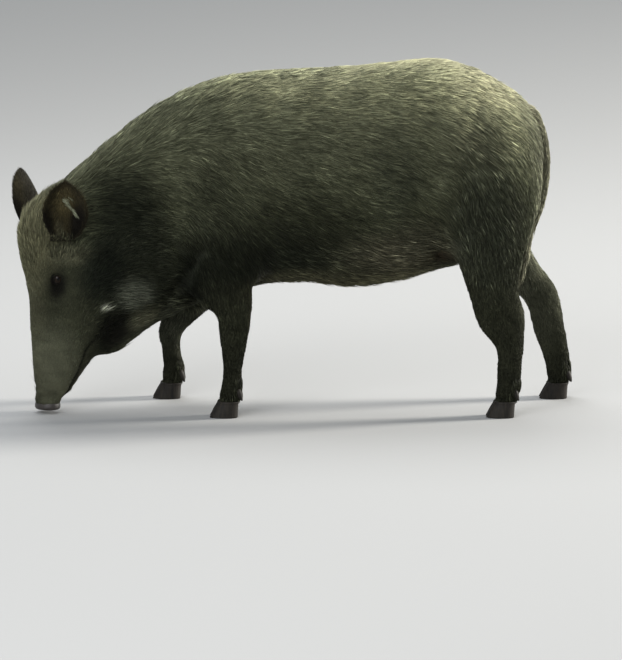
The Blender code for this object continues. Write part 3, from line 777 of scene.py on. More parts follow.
def unwrap(skin):
    """Unfolds the skin's own shape into flat islands, in the map named OFBake."""
    for thing in bpy.data.objects:
        thing.select_set(False)
    skin.select_set(True)
    bpy.context.view_layer.objects.active = skin
    skin.data.uv_layers.new(name="OFBake")
    bpy.ops.object.mode_set(mode="EDIT")
    bpy.ops.mesh.select_all(action="SELECT")
    bpy.ops.uv.smart_project(angle_limit=1.15, island_margin=0.002)
    bpy.ops.object.mode_set(mode="OBJECT")
    skin.select_set(False)


# ---------------------------------------------------------------- coat colour, painted light and shade
# Base colours by height and place, then spots: in the body's frame (x, side, z) or in the
# head's (up the face, out of the forehead, side), with radii, colour and strength. Many spots
# are painted shade in folds, hollows and under the neck, elbow and jaw, or painted highlights
# on the back, croup, rump and the legs' rear edges.
GREYING = 0.2                   # how far all colours are drawn to grey
COAT_CAST = (1.0, 1.01, 0.94)   # the last balance of red, green and blue; its slight green is partly the coat's olive tone and partly painted green light bounced from plants
# The three tones by height are partly the coat's own lighter back and darker underside, and partly
# painted light from above and painted shade low on the sides.
TOP_GREY = (0.166, 0.173, 0.102)
SIDE_BROWN = (0.100, 0.107, 0.060)
LOW_BROWN = (0.038, 0.041, 0.023)
BODY_TONES_AND_PAINTED_LIGHT = (
    ((0.120, 0.00, 0.780), (0.42, 0.07, 0.045), (0.212, 0.210, 0.134), 0.8),    # ridge of the back: greyer hair and a painted highlight
    ((0.555, 0.00, 0.560), (0.035, 0.09, 0.20), (0.226, 0.222, 0.152), 0.8),    # rear edge: painted rim highlight
    ((0.455, 0.06, 0.730), (0.12, 0.16, 0.07), (0.286, 0.278, 0.176), 0.8),     # croup: painted highlight
    ((0.390, 0.16, 0.615), (0.08, 0.12, 0.07), (0.160, 0.162, 0.100), 0.6),     # hip
    ((0.520, 0.04, 0.560), (0.06, 0.09, 0.20), (0.160, 0.164, 0.110), 0.8),     # rump: pale-tipped hair and a painted rim highlight
    ((-0.363, 0.135, 0.433), (0.085, 0.20, 0.11), (0.018, 0.022, 0.013), 0.9),  # painted shade behind the ear
    ((-0.330, 0.12, 0.340), (0.08, 0.20, 0.12), (0.024, 0.027, 0.016), 0.85),   # painted shade on the neck under the head
    ((-0.430, 0.03, 0.600), (0.12, 0.07, 0.08), (0.115, 0.120, 0.070), 0.75),   # nape
    ((-0.170, 0.16, 0.420), (0.08, 0.15, 0.13), (0.056, 0.061, 0.036), 0.7),    # shoulder
    ((-0.222, 0.13, 0.305), (0.034, 0.10, 0.08), (0.004, 0.005, 0.003), 0.94),  # painted shade in the shoulder fold
    ((0.040, 0.18, 0.430), (0.13, 0.15, 0.07), (0.030, 0.033, 0.017), 0.78),    # painted shade on the lower ribs
    ((-0.090, 0.15, 0.350), (0.18, 0.16, 0.085), (0.013, 0.016, 0.009), 0.88),  # painted shade behind the elbow
    ((0.215, 0.18, 0.545), (0.055, 0.12, 0.085), (0.066, 0.074, 0.046), 0.60),  # painted shade in the flank's hollow
    ((0.235, 0.15, 0.360), (0.13, 0.13, 0.060), (0.120, 0.109, 0.069), 0.82),   # rear of the belly
    ((0.420, 0.16, 0.430), (0.10, 0.12, 0.15), (0.040, 0.045, 0.029), 0.90),    # painted shade on the thigh
    ((0.120, 0.06, 0.290), (0.24, 0.16, 0.042), (0.098, 0.092, 0.050), 0.8),    # belly
    ((0.545, 0.12, 0.240), (0.050, 0.10, 0.16), (0.080, 0.084, 0.056), 0.85),   # far gaskin: painted light
    ((0.535, 0.11, 0.370), (0.024, 0.07, 0.10), (0.170, 0.174, 0.122), 0.75),   # painted rim highlight on the back of the thigh
    ((0.508, 0.11, 0.270), (0.014, 0.07, 0.08), (0.130, 0.134, 0.094), 0.65),   # painted rim highlight on the back of the hock
    ((0.600, 0.11, 0.270), (0.022, 0.07, 0.08), (0.170, 0.174, 0.122), 0.75),   # painted rim highlight on the far hock
    ((-0.076, 0.12, 0.170), (0.012, 0.07, 0.12), (0.150, 0.134, 0.084), 0.75),  # painted rim highlight on the back of the knee
    ((-0.262, 0.12, 0.180), (0.045, 0.07, 0.07), (0.074, 0.080, 0.056), 0.85),  # far forearm: painted light
    ((0.270, 0.15, 0.410), (0.06, 0.12, 0.045), (0.092, 0.090, 0.056), 0.6),    # flank ridge
    ((0.315, 0.12, 0.348), (0.035, 0.10, 0.018), (0.040, 0.026, 0.013), 0.85),  # painted shade in the flank's fold
)
# Spots on the head; the cheek and jaw spots are painted shade, the jaw's angle partly a painted
# highlight.
HEAD_TONES_AND_PAINTED_LIGHT = (
    ((0.400, 0.060, 0.030), (0.10, 0.07, 0.07), (0.152, 0.144, 0.076), 0.9),        # crown
    ((0.300, 0.070, 0.000), (0.09, 0.06, 0.050), (0.098, 0.095, 0.051), 0.9),       # forehead
    ((0.170, 0.050, 0.000), (0.12, 0.04, 0.045), (0.088, 0.088, 0.052), 0.8),       # bridge
    ((0.338, 0.000, 0.090), (0.020, 0.055, 0.045), (0.096, 0.095, 0.056), 0.85),    # below the ear
    ((0.090, 0.005, 0.035), (0.09, 0.055, 0.05), (0.132, 0.138, 0.090), 0.85),      # muzzle
    ((0.300, -0.055, 0.120), (0.075, 0.048, 0.06), (0.010, 0.013, 0.008), 0.93),    # painted shade on the cheek
    ((0.274, 0.016, 0.061), (0.036, 0.015, 0.04), (0.004, 0.004, 0.002), 0.97),     # eye stripe
    ((0.174, -0.096, 0.092), (0.062, 0.038, 0.09), (0.004, 0.004, 0.002), 0.97),    # painted shadow under the jaw
    ((0.254, -0.117, 0.138), (0.036, 0.036, 0.06), (0.168, 0.180, 0.134), 0.87),    # jaw's angle: pale hair and a painted highlight
    ((0.197, -0.150, 0.116), (0.034, 0.032, 0.06), (0.150, 0.150, 0.092), 0.85),    # under the jaw
    ((0.060, -0.060, 0.000), (0.060, 0.036, 0.05), (0.024, 0.022, 0.014), 0.8),     # chin
    ((0.223, -0.066, 0.118), (0.0085, 0.0090, 0.03), (0.380, 0.390, 0.310), 0.93),  # mouth corner
)
# The tail's pale colour is partly its own hair and partly a painted rim highlight.
TAIL_COLOUR_AND_RIM_HIGHLIGHT = (0.185, 0.180, 0.122)
LID_COLOUR = (0.010, 0.008, 0.006)
# The lock's pale colour is partly pale hair and partly a painted highlight.
LOCK_COLOUR_AND_HIGHLIGHT = (0.46, 0.49, 0.34)
EAR_BACK = (0.026, 0.022, 0.013)
EAR_HOLLOW = (0.034, 0.027, 0.011)
# Spots in the hollow, two of them painted shade: share of the length and spread, radii, colour and
# strength.
EAR_TONES_AND_PAINTED_SHADE = (
    ((0.66, -0.08), (0.28, 0.50), (0.076, 0.060, 0.022), 0.80),     # upper hollow
    ((0.10, -0.35), (0.20, 0.30), (0.060, 0.056, 0.032), 0.75),     # foot of the front rim
    ((0.26, -0.86), (0.30, 0.24), (0.005, 0.004, 0.002), 0.95),     # painted shadow in the fold of the front rim
    ((0.30, 0.60), (0.34, 0.42), (0.004, 0.003, 0.002), 0.96),      # painted shade in the pit
)


def mixed(colour, tint, share):
    """The colours drawn towards a tint by a share for each point."""
    return colour * (1 - share) + np.array(tint) * share


def dabbed(colour, spots, places, mask=1.0):
    """The colours with spots laid on in turn: each a flat-topped bell round its middle."""
    for middle, radii, tint, strength in spots:
        away = (((places - middle) / radii) ** 2).sum(1)
        colour = mixed(colour, tint, (strength * np.exp(-away ** 2))[:, None] * mask)
    return colour


def coat_colour_and_painted_light(points, region):
    """The coat's colour at points, with painted light and shade: one formula for the skin and
    for the tufts. Three tones by height, partly painted light from above; spots, many of them
    painted shade or painted highlights; darker along the mouth's line; the ears', tail's and
    lids' own colours, with painted shade in the ears' fold and pit and a painted rim highlight
    on the tail; and a mottle."""
    body = points - SHIFT
    body[:, 1] = np.abs(body[:, 1])
    parts = head_parts(points)
    parts[:, 2] = np.abs(parts[:, 2])
    height = body[:, 2]
    # three tones by height: partly the coat's own, partly painted light from above and painted
    # shade below
    colour = mixed(np.array(LOW_BROWN) + 0 * points, SIDE_BROWN,
                   fade(height, 0.28, 0.46)[:, None])
    colour = mixed(colour, TOP_GREY, fade(height, 0.45, 0.67)[:, None])
    feet = fade(height, 0.22, 0.08) * (body[:, 0] > FEET_BEHIND)
    colour = colour * (1 - 0.35 * feet)[:, None]
    colour = dabbed(colour, BODY_TONES_AND_PAINTED_LIGHT, body)
    colour = dabbed(colour, HEAD_TONES_AND_PAINTED_LIGHT, parts)
    # darker along the mouth's line
    on_mouth_line = furrow(MOUTH, MOUTH_WIDTH, parts[:, 0], parts[:, 1]) * (body[:, 0] < -0.34)
    colour = colour * (1 - 0.8 * on_mouth_line)[:, None]
    for hand in HANDS:
        share, across, level = ear_parts(points, hand)
        half, cup, hollow = ear_profile(share)
        spread = across / half
        core = -(cup + hollow) / 2 * (1 - spread ** 2)
        inner = fade(level - EAR_LEAN * share ** 2, core - 0.001, core + 0.003)[:, None]
        tint = mixed(np.array(EAR_BACK), EAR_HOLLOW, inner)
        tint = dabbed(tint, EAR_TONES_AND_PAINTED_SHADE, np.stack([share, spread], 1), inner)
        colour = np.where((region == ON_EAR[hand])[:, None], tint, colour)
    for number, tint in ((ON_TAIL, TAIL_COLOUR_AND_RIM_HIGHLIGHT), (ON_LIDS, LID_COLOUR)):
        colour = np.where((region == number)[:, None], np.array(tint), colour)
    streaks = points * (0.35, 1.0, 1.0)
    mottle = 1.0 + 0.14 * waves(points, 0.11, 5) + 0.17 * waves(streaks, 0.022, 6)
    colour = colour.mean(1, keepdims=True) * GREYING + colour * (1 - GREYING)
    return colour * np.maximum(mottle, 0.3)[:, None] * COAT_CAST


# ---------------------------------------------------------------- coat
BALD = 0.001                # skin whose hair is shorter stays bare
HORN_TOP = 0.036            # below this height a foot is horn
ROOT_DEPTH = 0.0012         # how deep a tuft stands in the skin
PATCH_RADIUS = 0.0015       # radius of a tuft's patch in the OFBake map
PALE_TIPS, BLACK_TIPS = 0.16, 0.14      # shares of tufts with a pale and with a black tip
PALE_ADD = (0.020, 0.018, 0.010)        # what a pale tip gains
LOCK_CELL = 0.010           # size of the cells inside which the tips draw together
# Faces of a straight and of a bent tuft, and each point's step from root (0) to tip (1).
STRAIGHT_FACES = np.array(((1, 2, 3), (0, 3, 2), (0, 1, 3), (0, 2, 1)))
STRAIGHT_STEPS = np.array((0.0, 0.0, 0.0, 1.0))
BENT_FACES = np.array(((0, 2, 1), (0, 1, 4), (0, 4, 3), (1, 2, 5), (1, 5, 4), (2, 0, 3),
                       (2, 3, 5), (3, 4, 6), (4, 5, 6), (5, 3, 6)))
BENT_STEPS = np.array((0.0, 0.0, 0.0, 0.5, 0.5, 0.5, 1.0))


def sampled_roots(skin, settings):
    """Roots spread over the skin: denser where the hair is short. Gives place, normal,
    comb way, hair length, lift, region and map place of every root."""
    mesh = skin.data
    points = points_of(mesh)
    corners, loops = triangles_of(mesh)
    normals = normals_of(points, corners)
    ways = values_of(mesh, "comb", 3)
    lengths = values_of(mesh, "hair_length", 1)
    lifts = values_of(mesh, "hair_lift", 1)
    region = values_of(mesh, "region", 1)
    places = read(mesh.uv_layers["OFBake"].data, "uv", 2)

    a, b, c = (points[corners[:, i]] for i in range(3))
    area = np.linalg.norm(np.cross(b - a, c - a), axis=1) / 2
    length = lengths[corners].mean(1)
    width = tuft_width(length, settings)
    cover = settings.cover * (0.68 + 0.32 * fade(length, 0.012, 0.030))
    wanted = area * cover / np.maximum(0.5 * length * width, 1e-6)      # tufts per face
    wanted[length < BALD] = 0.0
    wanted[(a[:, 2] < HORN_TOP) & (a[:, 0] > -0.40)] = 0.0
    total = np.concatenate([[0.0], np.cumsum(wanted)])
    count = int(total[-1])
    draw = np.random.default_rng(SEED)
    at = (np.arange(count) + draw.uniform(0, 1, count)) * (total[-1] / count)
    face = np.clip(np.searchsorted(total, at, side="right") - 1, 0, len(corners) - 1)
    u, v = draw.uniform(0, 1, (2, count))
    over = u + v > 1
    u, v = np.where(over, 1 - u, u), np.where(over, 1 - v, v)
    shares = np.stack([1 - u - v, u, v], 1)

    def blend(values, index):
        """Values at the roots, from those at the three corners of their faces."""
        return (values[index[face]] * shares.reshape(count, 3, *([1] * (values.ndim - 1)))).sum(1)

    return {
        "place": blend(points, corners), "normal": unit(blend(normals, corners)),
        "way": blend(ways, corners), "length": blend(lengths, corners),
        "lift": blend(lifts, corners), "region": np.round(region[corners[face, 0]]),
        "uv": blend(places, loops),
    }


def tuft_width(length, settings):
    """Width of a tuft: a least width and a share of its length."""
    return settings.width * (0.0010 + 0.045 * length)


def combed(roots, settings, seed):
    """Turns roots into tufts: side, length, width and tip of each. The way swirls a little,
    the lift and length vary, and the tips draw together inside small warped cells."""
    draw = np.random.default_rng(seed)
    place, normal = roots["place"], roots["normal"]
    count = len(place)
    way = unit(roots["way"] - normal * (roots["way"] * normal).sum(1, keepdims=True))
    side = np.cross(normal, way)
    swirl = 0.16 * waves(place, 0.10, 11) + 0.14 * waves(place, 0.030, 12)
    swirl = swirl + draw.normal(0, 0.11, count)
    way, side = (way * np.cos(swirl)[:, None] + side * np.sin(swirl)[:, None],
                 side * np.cos(swirl)[:, None] - way * np.sin(swirl)[:, None])
    length = roots["length"] * draw.uniform(0.70, 1.15, count)
    width = tuft_width(roots["length"], settings) * draw.uniform(0.75, 1.2, count)
    lift = roots["lift"] * settings.lift * (1 + 0.35 * waves(place, 0.045, 13))
    lift = np.clip(lift * draw.uniform(0.6, 1.4, count), 0.03, 0.9)
    tip = place + way * (length * np.cos(lift))[:, None] \
        + normal * (length * np.sin(lift))[:, None]
    warp = np.stack([waves(place, 0.02, seed) for seed in (21, 22, 23)], 1)
    cell = np.floor((place + 0.004 * warp) / LOCK_CELL)
    cell = cell.astype(np.int64) @ np.array((1, 4001, 4001 * 4001))     # one number each
    _, cell = np.unique(cell, return_inverse=True)
    cell = cell.ravel()
    share = np.maximum(np.bincount(cell), 1)
    mean = np.stack([np.bincount(cell, tip[:, i]) / share for i in range(3)], 1)[cell]
    tip = tip + (mean - tip) * (settings.clump * draw.uniform(0.4, 1.0, count))[:, None]
    return side, length, width, tip


def straight_tufts(roots, settings, seed):
    """Closed four-sided spikes: two base corners, a ridge and a tip."""
    side, _, width, tip = combed(roots, settings, seed)
    base = roots["place"] - roots["normal"] * ROOT_DEPTH
    return np.stack(tuft_ring(base, side, roots["normal"], width) + [tip], 1)


def tuft_ring(base, side, normal, width):
    """A tuft's section: a corner on each side and a ridge over the middle."""
    half = side * (width / 2)[:, None]
    return [base - half, base + half, base + normal * (width * 0.55)[:, None]]


def bent_tufts(roots, settings, seed):
    """Closed spikes with a bend: three base corners, three corners halfway and a tip that
    leans back towards the skin."""
    side, length, width, tip = combed(roots, settings, seed)
    normal = roots["normal"]
    base = roots["place"] - normal * ROOT_DEPTH
    middle = (base + tip) / 2 + normal * (length * 0.07)[:, None]
    return np.stack(tuft_ring(base, side, normal, width)
                    + tuft_ring(middle, side, normal, width * 0.72) + [tip], 1)


def tuft_colours(roots, seed, steps, pale):
    """Colour at each point of each tuft: dark at the root, partly the hair's own dark base and
    partly painted shade deep in the coat, the coat's colour above, and now and then a pale or
    a black tip. Short hair differs less from tuft to tuft."""
    draw = np.random.default_rng(seed)
    count = len(roots["place"])
    colour = coat_colour_and_painted_light(roots["place"], roots["region"])
    calm = fade(roots["length"], 0.003, 0.020)[:, None]
    tone = np.exp(draw.normal(0, 0.34, count)[:, None] * (0.4 + 0.6 * calm))
    tip = colour * (1.20 + 0.15 * calm) * tone
    chance = draw.uniform(0, 1, count)
    is_pale = (chance < pale)[:, None]
    pale_add = np.array(PALE_ADD) * fade(colour.mean(1), 0.008, 0.060)[:, None]
    tip = np.where(is_pale, tip * (1.2 + 0.7 * calm) + pale_add * calm, tip)
    tip = np.where((chance > 1.0 - BLACK_TIPS)[:, None], tip * 0.45, tip)
    # dark root: partly the hair's own dark base, partly painted shade deep in the coat
    root = colour * (0.72 - 0.30 * calm) * tone
    share = (steps ** 0.8)[None, :, None]
    return root[:, None] * (1 - share) + tip[:, None] * share


def tuft_piece(name, points, faces, colours, uv):
    """One piece from tufts, each with its own points and, round its root's place on the
    OFBake map, its own patch. The tips stay inside the box of the solids."""
    count, each, _ = points.shape
    low, high = BOX_AT_START
    low = np.array((low[0], low[1], 0.002)) + 0.0003
    points = np.clip(points, low, np.array(high) - 0.0003)
    index = (faces[None] + (np.arange(count) * each)[:, None, None]).reshape(-1, 3)
    made = mesh_object(name, points.reshape(-1, 3), index)
    put_values(made.data, "coat_colour", "FLOAT_COLOR", opaque(colours).reshape(-1, 4))
    angle = full_turn(each)
    patch = np.stack([np.cos(angle), np.sin(angle)], 1) * PATCH_RADIUS
    layer = made.data.uv_layers.new(name="OFBake")
    place = (uv[:, None] + patch[None])[:, faces.ravel()]
    layer.data.foreach_set("uv", np.ascontiguousarray(place, np.float32).ravel())
    made.data.materials.append(coat_material())
    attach(made, "root")


def picked(roots, mask):
    """The roots that the mask takes."""
    return {key: values[mask] for key, values in roots.items()}


def coat_areas(roots):
    """The areas of the coat, each as its name and the mask of the roots in it."""
    place = roots["place"] - SHIFT
    x, y, z = place.T
    parts = head_parts(roots["place"])
    region = roots["region"]
    ear = np.isin(region, list(ON_EAR.values()))
    tail = region == ON_TAIL
    head = (x < HEAD_BACK_PLANE[0] + HEAD_BACK_PLANE[1] * z) & ~ear
    face = head & (parts[:, 0] < 0.30)
    low = z < np.where(x > 0.3, 0.34, 0.27)
    leg = ~head & ~ear & ~tail & low & (np.abs(y) > 0.036)
    leg &= (x > 0.36) | (x < -0.02)
    body = ~head & ~ear & ~tail & ~leg
    left = np.where(head, parts[:, 2] > 0, y < 0)
    kinds = {
        "face": face, "poll": head & ~face, "ear": ear,
        "leg_front": leg & (x < 0.1), "leg_hind": leg & (x > 0.1),
    }
    for name, start, end in (("neck", -1.0, -0.20), ("shoulder", -0.20, 0.0),
                             ("ribs", 0.0, 0.20), ("loin", 0.20, 0.36), ("rump", 0.36, 1.0)):
        kinds[name] = body & (x >= start) & (x < end)
    areas = [(f"coat_{kind}_{side}", mask & on_side)
             for side, on_side in (("left", left), ("right", ~left))
             for kind, mask in kinds.items()]
    return areas + [("coat_tail", tail)]


def comb_coat(settings):
    """The whole coat of straight tufts, in areas."""
    roots = sampled_roots(bpy.data.objects["skin"], settings)
    for number, (name, mask) in enumerate(coat_areas(roots)):
        some = picked(roots, mask)
        if not len(some["place"]):
            raise RuntimeError(name + " has no hair")
        points = straight_tufts(some, settings, SEED + number)
        colours = tuft_colours(some, SEED + 100 + number, STRAIGHT_STEPS, PALE_TIPS)
        tuft_piece(name, points, STRAIGHT_FACES, colours, some["uv"])


def hair_piece(name, roots, seed, pale, slim=None, shade=1.0, lock=None):
    """One piece of bent tufts on roots: drawn in to a share of their width where slim is
    given, shaded, and with a lock's own colours where its mask is set."""
    points = bent_tufts(roots, bpy.context.scene.boar_coat, SEED + seed)
    if slim is not None:
        points = thinned(points, slim)
    colours = tuft_colours(roots, SEED + 100 + seed, BENT_STEPS, pale) * shade
    if lock is not None:
        colours = np.where(lock[0], lock[1], colours)
    tuft_piece(name, points, BENT_FACES, colours, roots["uv"])


def longer_hair(settings):
    """Bent, longer tufts over the short coat: on crest, rump, tail, jaw, belly, fetlocks
    and the hooves' crowns, on and round the ears, and as lashes and whiskers."""
    roots = sampled_roots(bpy.data.objects["skin"], bpy.context.scene.boar_coat)
    place = roots["place"] - SHIFT
    x, z = place[:, 0], place[:, 2]
    parts = head_parts(roots["place"])
    along, dorsal = parts[:, 0], parts[:, 1]
    region, normal = roots["region"], roots["normal"]
    chance = np.random.default_rng(SEED + 7).uniform(0, 1, len(place))
    on_body = region == ON_BODY
    on_feet = on_body & (x > FEET_BEHIND)
    on_jaw = on_body & (x < FEET_BEHIND) & (along > 0.03) & (along < 0.24) & (dorsal < -0.03)
    # where, share of the roots taken, length against the short coat's, and its lift
    sorts = (
        ("crest", on_body & (np.abs(place[:, 1]) < 0.045) & (z > 0.50) & (x < 0.10),
         0.30, 1.15, 0.9),
        ("rump", on_body & (x > 0.36) & (z > 0.30), 0.10, 1.1, 1.3),
        ("tail", region == ON_TAIL, 0.75, 1.25, 1.0),
        ("jaw", on_jaw, 0.07, 1.35, 1.2),
        ("belly", on_body & (normal[:, 2] < -0.4) & (z > 0.20) & (x > -0.3), 0.10, 1.1, 1.3),
        ("fetlock", on_feet & (z > 0.052) & (z < 0.090) & (normal[:, 0] > 0.25),
         0.45, 2.1, 1.3),
        ("coronet", on_feet & (z < 0.047), 0.85, 1.5, 2.6),
    )
    for number, (name, mask, odds, longer, raised) in enumerate(sorts):
        some = picked(roots, mask & (chance < odds))
        some["length"] = some["length"] * longer * settings.length
        some["lift"] = some["lift"] * raised
        hair_piece("hair_" + name, some, 40 + number, 0.2)
    ear_fringe(roots, settings)
    ear_roots(roots, settings)
    lashes(roots)
    whiskers(roots, parts)


def ear_fringe(roots, settings):
    """Thin pale-tipped hairs along both rims of the ears and inside their fronts."""
    draw = np.random.default_rng(SEED + 60)
    chosen = np.zeros(len(roots["place"]), bool)
    ways = roots["way"]
    for hand in HANDS:
        _, axis, across, out = ear_frame(hand)
        share, side, _ = ear_parts(roots["place"], hand)
        half, _, _ = ear_profile(share)
        spread = side / half
        rim = np.abs(spread) > 0.86
        front = (spread < -0.45) & (roots["normal"] @ out > 0.2) & (share < 0.75)
        on_ear = roots["region"] == ON_EAR[hand]
        odds = draw.uniform(0, 1, len(share))
        chosen |= on_ear & (share > 0.05) & ((rim & (odds < 0.55)) | (front & (odds < 0.25)))
        sideways = np.sign(spread) * rim * 0.55 + front * ~rim * 0.45
        lean = axis * 0.9 + across * sideways[:, None]
        ways = np.where(on_ear[:, None], unit(lean), ways)
    some = picked(dict(roots, way=ways), chosen)
    some["length"] = np.full(len(some["place"]), 0.017 * settings.length)
    some["lift"] = np.full(len(some["place"]), 0.22)
    hair_piece("hair_ears", some, 61, 0.3, slim=0.6, shade=1.15)


def ear_roots(roots, settings):
    """Hair that hides the ears' roots, and a pale lock whose brightness is partly a painted
    highlight. Hair of the head stands up in a ring round each root, more of it ahead; hair on
    the ear's own foot runs up it, half of it in the head's colour; the lock is a forked stroke
    across the hollow."""
    count = len(roots["place"])
    draw = np.random.default_rng(SEED + 80)
    ring, lock, foot = np.zeros((3, count), bool)
    ways = roots["way"]
    for hand in HANDS:
        _, axis, across, out = ear_frame(hand)
        share, side, level = ear_parts(roots["place"], hand)
        gap = np.hypot(side / 0.036, level / 0.030)
        turned = fade(gap, 1.35, 0.80) * fade(np.abs(share), 0.26, 0.12)
        near = (roots["region"] == ON_BODY) & (turned > 0.02) & (gap > 0.30)
        ahead = fade(level, 0.0, 0.012)
        near &= draw.uniform(0, 1, count) < (0.35 + 0.5 * ahead) * (0.1 + 0.9 * turned)
        lean = axis + across * (side / 0.036 * 0.25)[:, None]
        lean = unit(ways) * (1 - turned)[:, None] + lean * turned[:, None]
        ways = np.where(near[:, None], unit(lean), ways)
        ring |= near

        on_ear = roots["region"] == ON_EAR[hand]
        along = np.clip((share - 0.40) / 0.22, 0, 1)
        stem = np.hypot(side - (0.028 - 0.024 * along),
                        (share - 0.40 - 0.22 * along) * EAR_LENGTH)
        fork = np.hypot(side - (0.016 - 0.002 * along),
                        (share - 0.50 - 0.16 * along) * EAR_LENGTH)
        stroke = on_ear & (roots["normal"] @ out > 0.1)
        stroke &= draw.uniform(0, 1, count) < 0.55 * fade(np.minimum(stem, fork), 0.0065, 0.0025)
        way = axis * 0.75 - across * draw.normal(0.60, 0.18, count)[:, None]
        ways = np.where(stroke[:, None], unit(way), ways)
        lock |= stroke

        low = on_ear & (draw.uniform(0, 1, count) < fade(share, 0.15, 0.04))
        low &= ~stroke & (draw.uniform(0, 1, count) < fade(share, -0.02, 0.06))
        ways = np.where(low[:, None], axis, ways)
        foot |= low
    taken = ring | lock | foot
    like_head = foot & (draw.uniform(0, 1, count) < 0.5)
    region = np.where(like_head, ON_BODY, roots["region"])
    some = picked(dict(roots, way=ways, region=region), taken)
    pale = lock[taken]
    some["length"] = np.where(pale, 0.014, 0.021) * settings.length
    some["lift"] = np.where(pale, 0.22, 0.24)
    pale = pale[:, None, None]
    # the lock's colour, brighter towards the tip: pale hair and a painted highlight
    bright = np.array(LOCK_COLOUR_AND_HIGHLIGHT) * (0.25 + 0.75 * BENT_STEPS)[None, :, None] \
        * draw.uniform(0.55, 1.1, len(pale))[:, None, None]
    hair_piece("hair_ear_roots", some, 81, 0.05, slim=np.where(pale, 0.7, 1.0),
               shade=np.where(foot[taken], 0.62, 0.85)[:, None, None], lock=(pale, bright))


def lashes(roots):
    """Stiff dark lashes on the upper lids, leaning out and back."""
    chosen = np.zeros(len(roots["place"]), bool)
    ways = roots["way"]
    for hand in HANDS:
        centre, axes = eye_frame(hand)
        local = (roots["place"] - centre) @ axes.T
        upper = (roots["region"] == ON_LIDS) & (local[:, 2] > 0.0035)
        upper &= np.linalg.norm(local, axis=1) < 0.02
        way = unit(axes[0] * 0.8 + axes[2] * 0.5 + axes[1] * 0.25)
        ways = np.where(upper[:, None], way, ways)
        chosen |= upper
    draw = np.random.default_rng(SEED + 90)
    chosen &= draw.uniform(0, 1, len(chosen)) < 0.22
    some = picked(dict(roots, way=ways), chosen)
    count = len(some["place"])
    some["length"] = draw.uniform(0.007, 0.012, count)
    some["lift"] = np.full(count, 0.75)
    hair_piece("hair_lashes", some, 91, 0.0, slim=0.35, shade=0.4)


def thinned(points, share):
    """Draws each bent tuft's points in towards its own axis."""
    axis = unit(points[:, 6:7] - points[:, 0:1])
    along = ((points - points[:, 0:1]) * axis).sum(2, keepdims=True) * axis
    return points[:, 0:1] + along + (points - points[:, 0:1] - along) * share


def whiskers(roots, parts):
    """A few long thin bristles on the muzzle and over the eyes."""
    along, dorsal, side = parts.T
    draw = np.random.default_rng(SEED + 70)
    chance = draw.uniform(0, 1, len(parts))
    on_head = (roots["region"] == ON_BODY) & (roots["place"][:, 0] - SHIFT[0] < -0.38)
    muzzle = on_head & (along > 0.012) & (along < 0.11)
    brow = on_head & (np.abs(along - 0.315) < 0.014) & (np.abs(dorsal - 0.03) < 0.02)
    brow &= np.abs(side) > 0.045
    some = picked(roots, (muzzle & (chance < 0.012)) | (brow & (chance < 0.06)))
    count = len(some["place"])
    some["length"] = draw.uniform(0.014, 0.028, count)
    some["lift"] = draw.uniform(0.18, 0.45, count)
    hair_piece("hair_whiskers", some, 71, 0.1, slim=0.20, shade=0.6)


# ---------------------------------------------------------------- eyes, horn and snout
PUPIL_HALF = (0.0042, 0.0030)
EYE_DARK = (0.009, 0.007, 0.005)
IRIS_COLOUR = (0.012, 0.0075, 0.004)
# A toe's outline, forwards and outwards, as shares of its half length and half width.
TOE_OUTLINE = (
    (1.00, -0.25), (0.82, 0.35), (0.45, 0.80), (0.00, 1.00), (-0.50, 0.92), (-0.88, 0.50),
    (-1.00, -0.10), (-0.80, -0.62), (-0.30, -0.80), (0.30, -0.82), (0.75, -0.68),
)
TOE_TOP = 0.0355            # height of the toes' horn
TOE_GAP = 0.0145            # from the middle of the foot to the middle of a toe
# The middle of each foot under its leg: x and y.
FEET = {
    "front_left": (-0.132, -0.111), "front_right": (-0.261, 0.113),
    "hind_left": (0.464, -0.111), "hind_right": (0.588, 0.113),
}
# The snout's disc: half width and half height, level of its face, and the rim as shares of
# the half sizes and levels up the face.
DISC_HALF = (0.0322, 0.0266)
DISC_FACE = -0.0034
DISC_RIM = (
    (0.92, -0.0034), (0.955, -0.0029), (0.98, -0.0018), (0.995, -0.0003), (1.0, 0.0014),
    (1.0, 0.0030), (0.99, 0.0050), (0.975, 0.0072), (0.955, 0.0095), (0.93, 0.0120),
    (0.88, 0.0150),
)
NOSTRIL_ASIDE = 0.0132      # from the disc's middle to a nostril's
NOSTRIL_HALF = (0.0062, 0.0080)
SNOUT_COLOUR = (0.024, 0.019, 0.016)


def closed_piece(name, points, faces, finish, colours=None):
    """One piece from a closed surface, turned to face outwards, with its own paint."""
    piece = mesh_object(name, points, faces)
    closed_form(piece.data)
    if colours is not None:
        put_values(piece.data, "paint", "FLOAT_COLOR", opaque(colours))
    piece.data.materials.append(finish)
    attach(piece, "root")
    return piece


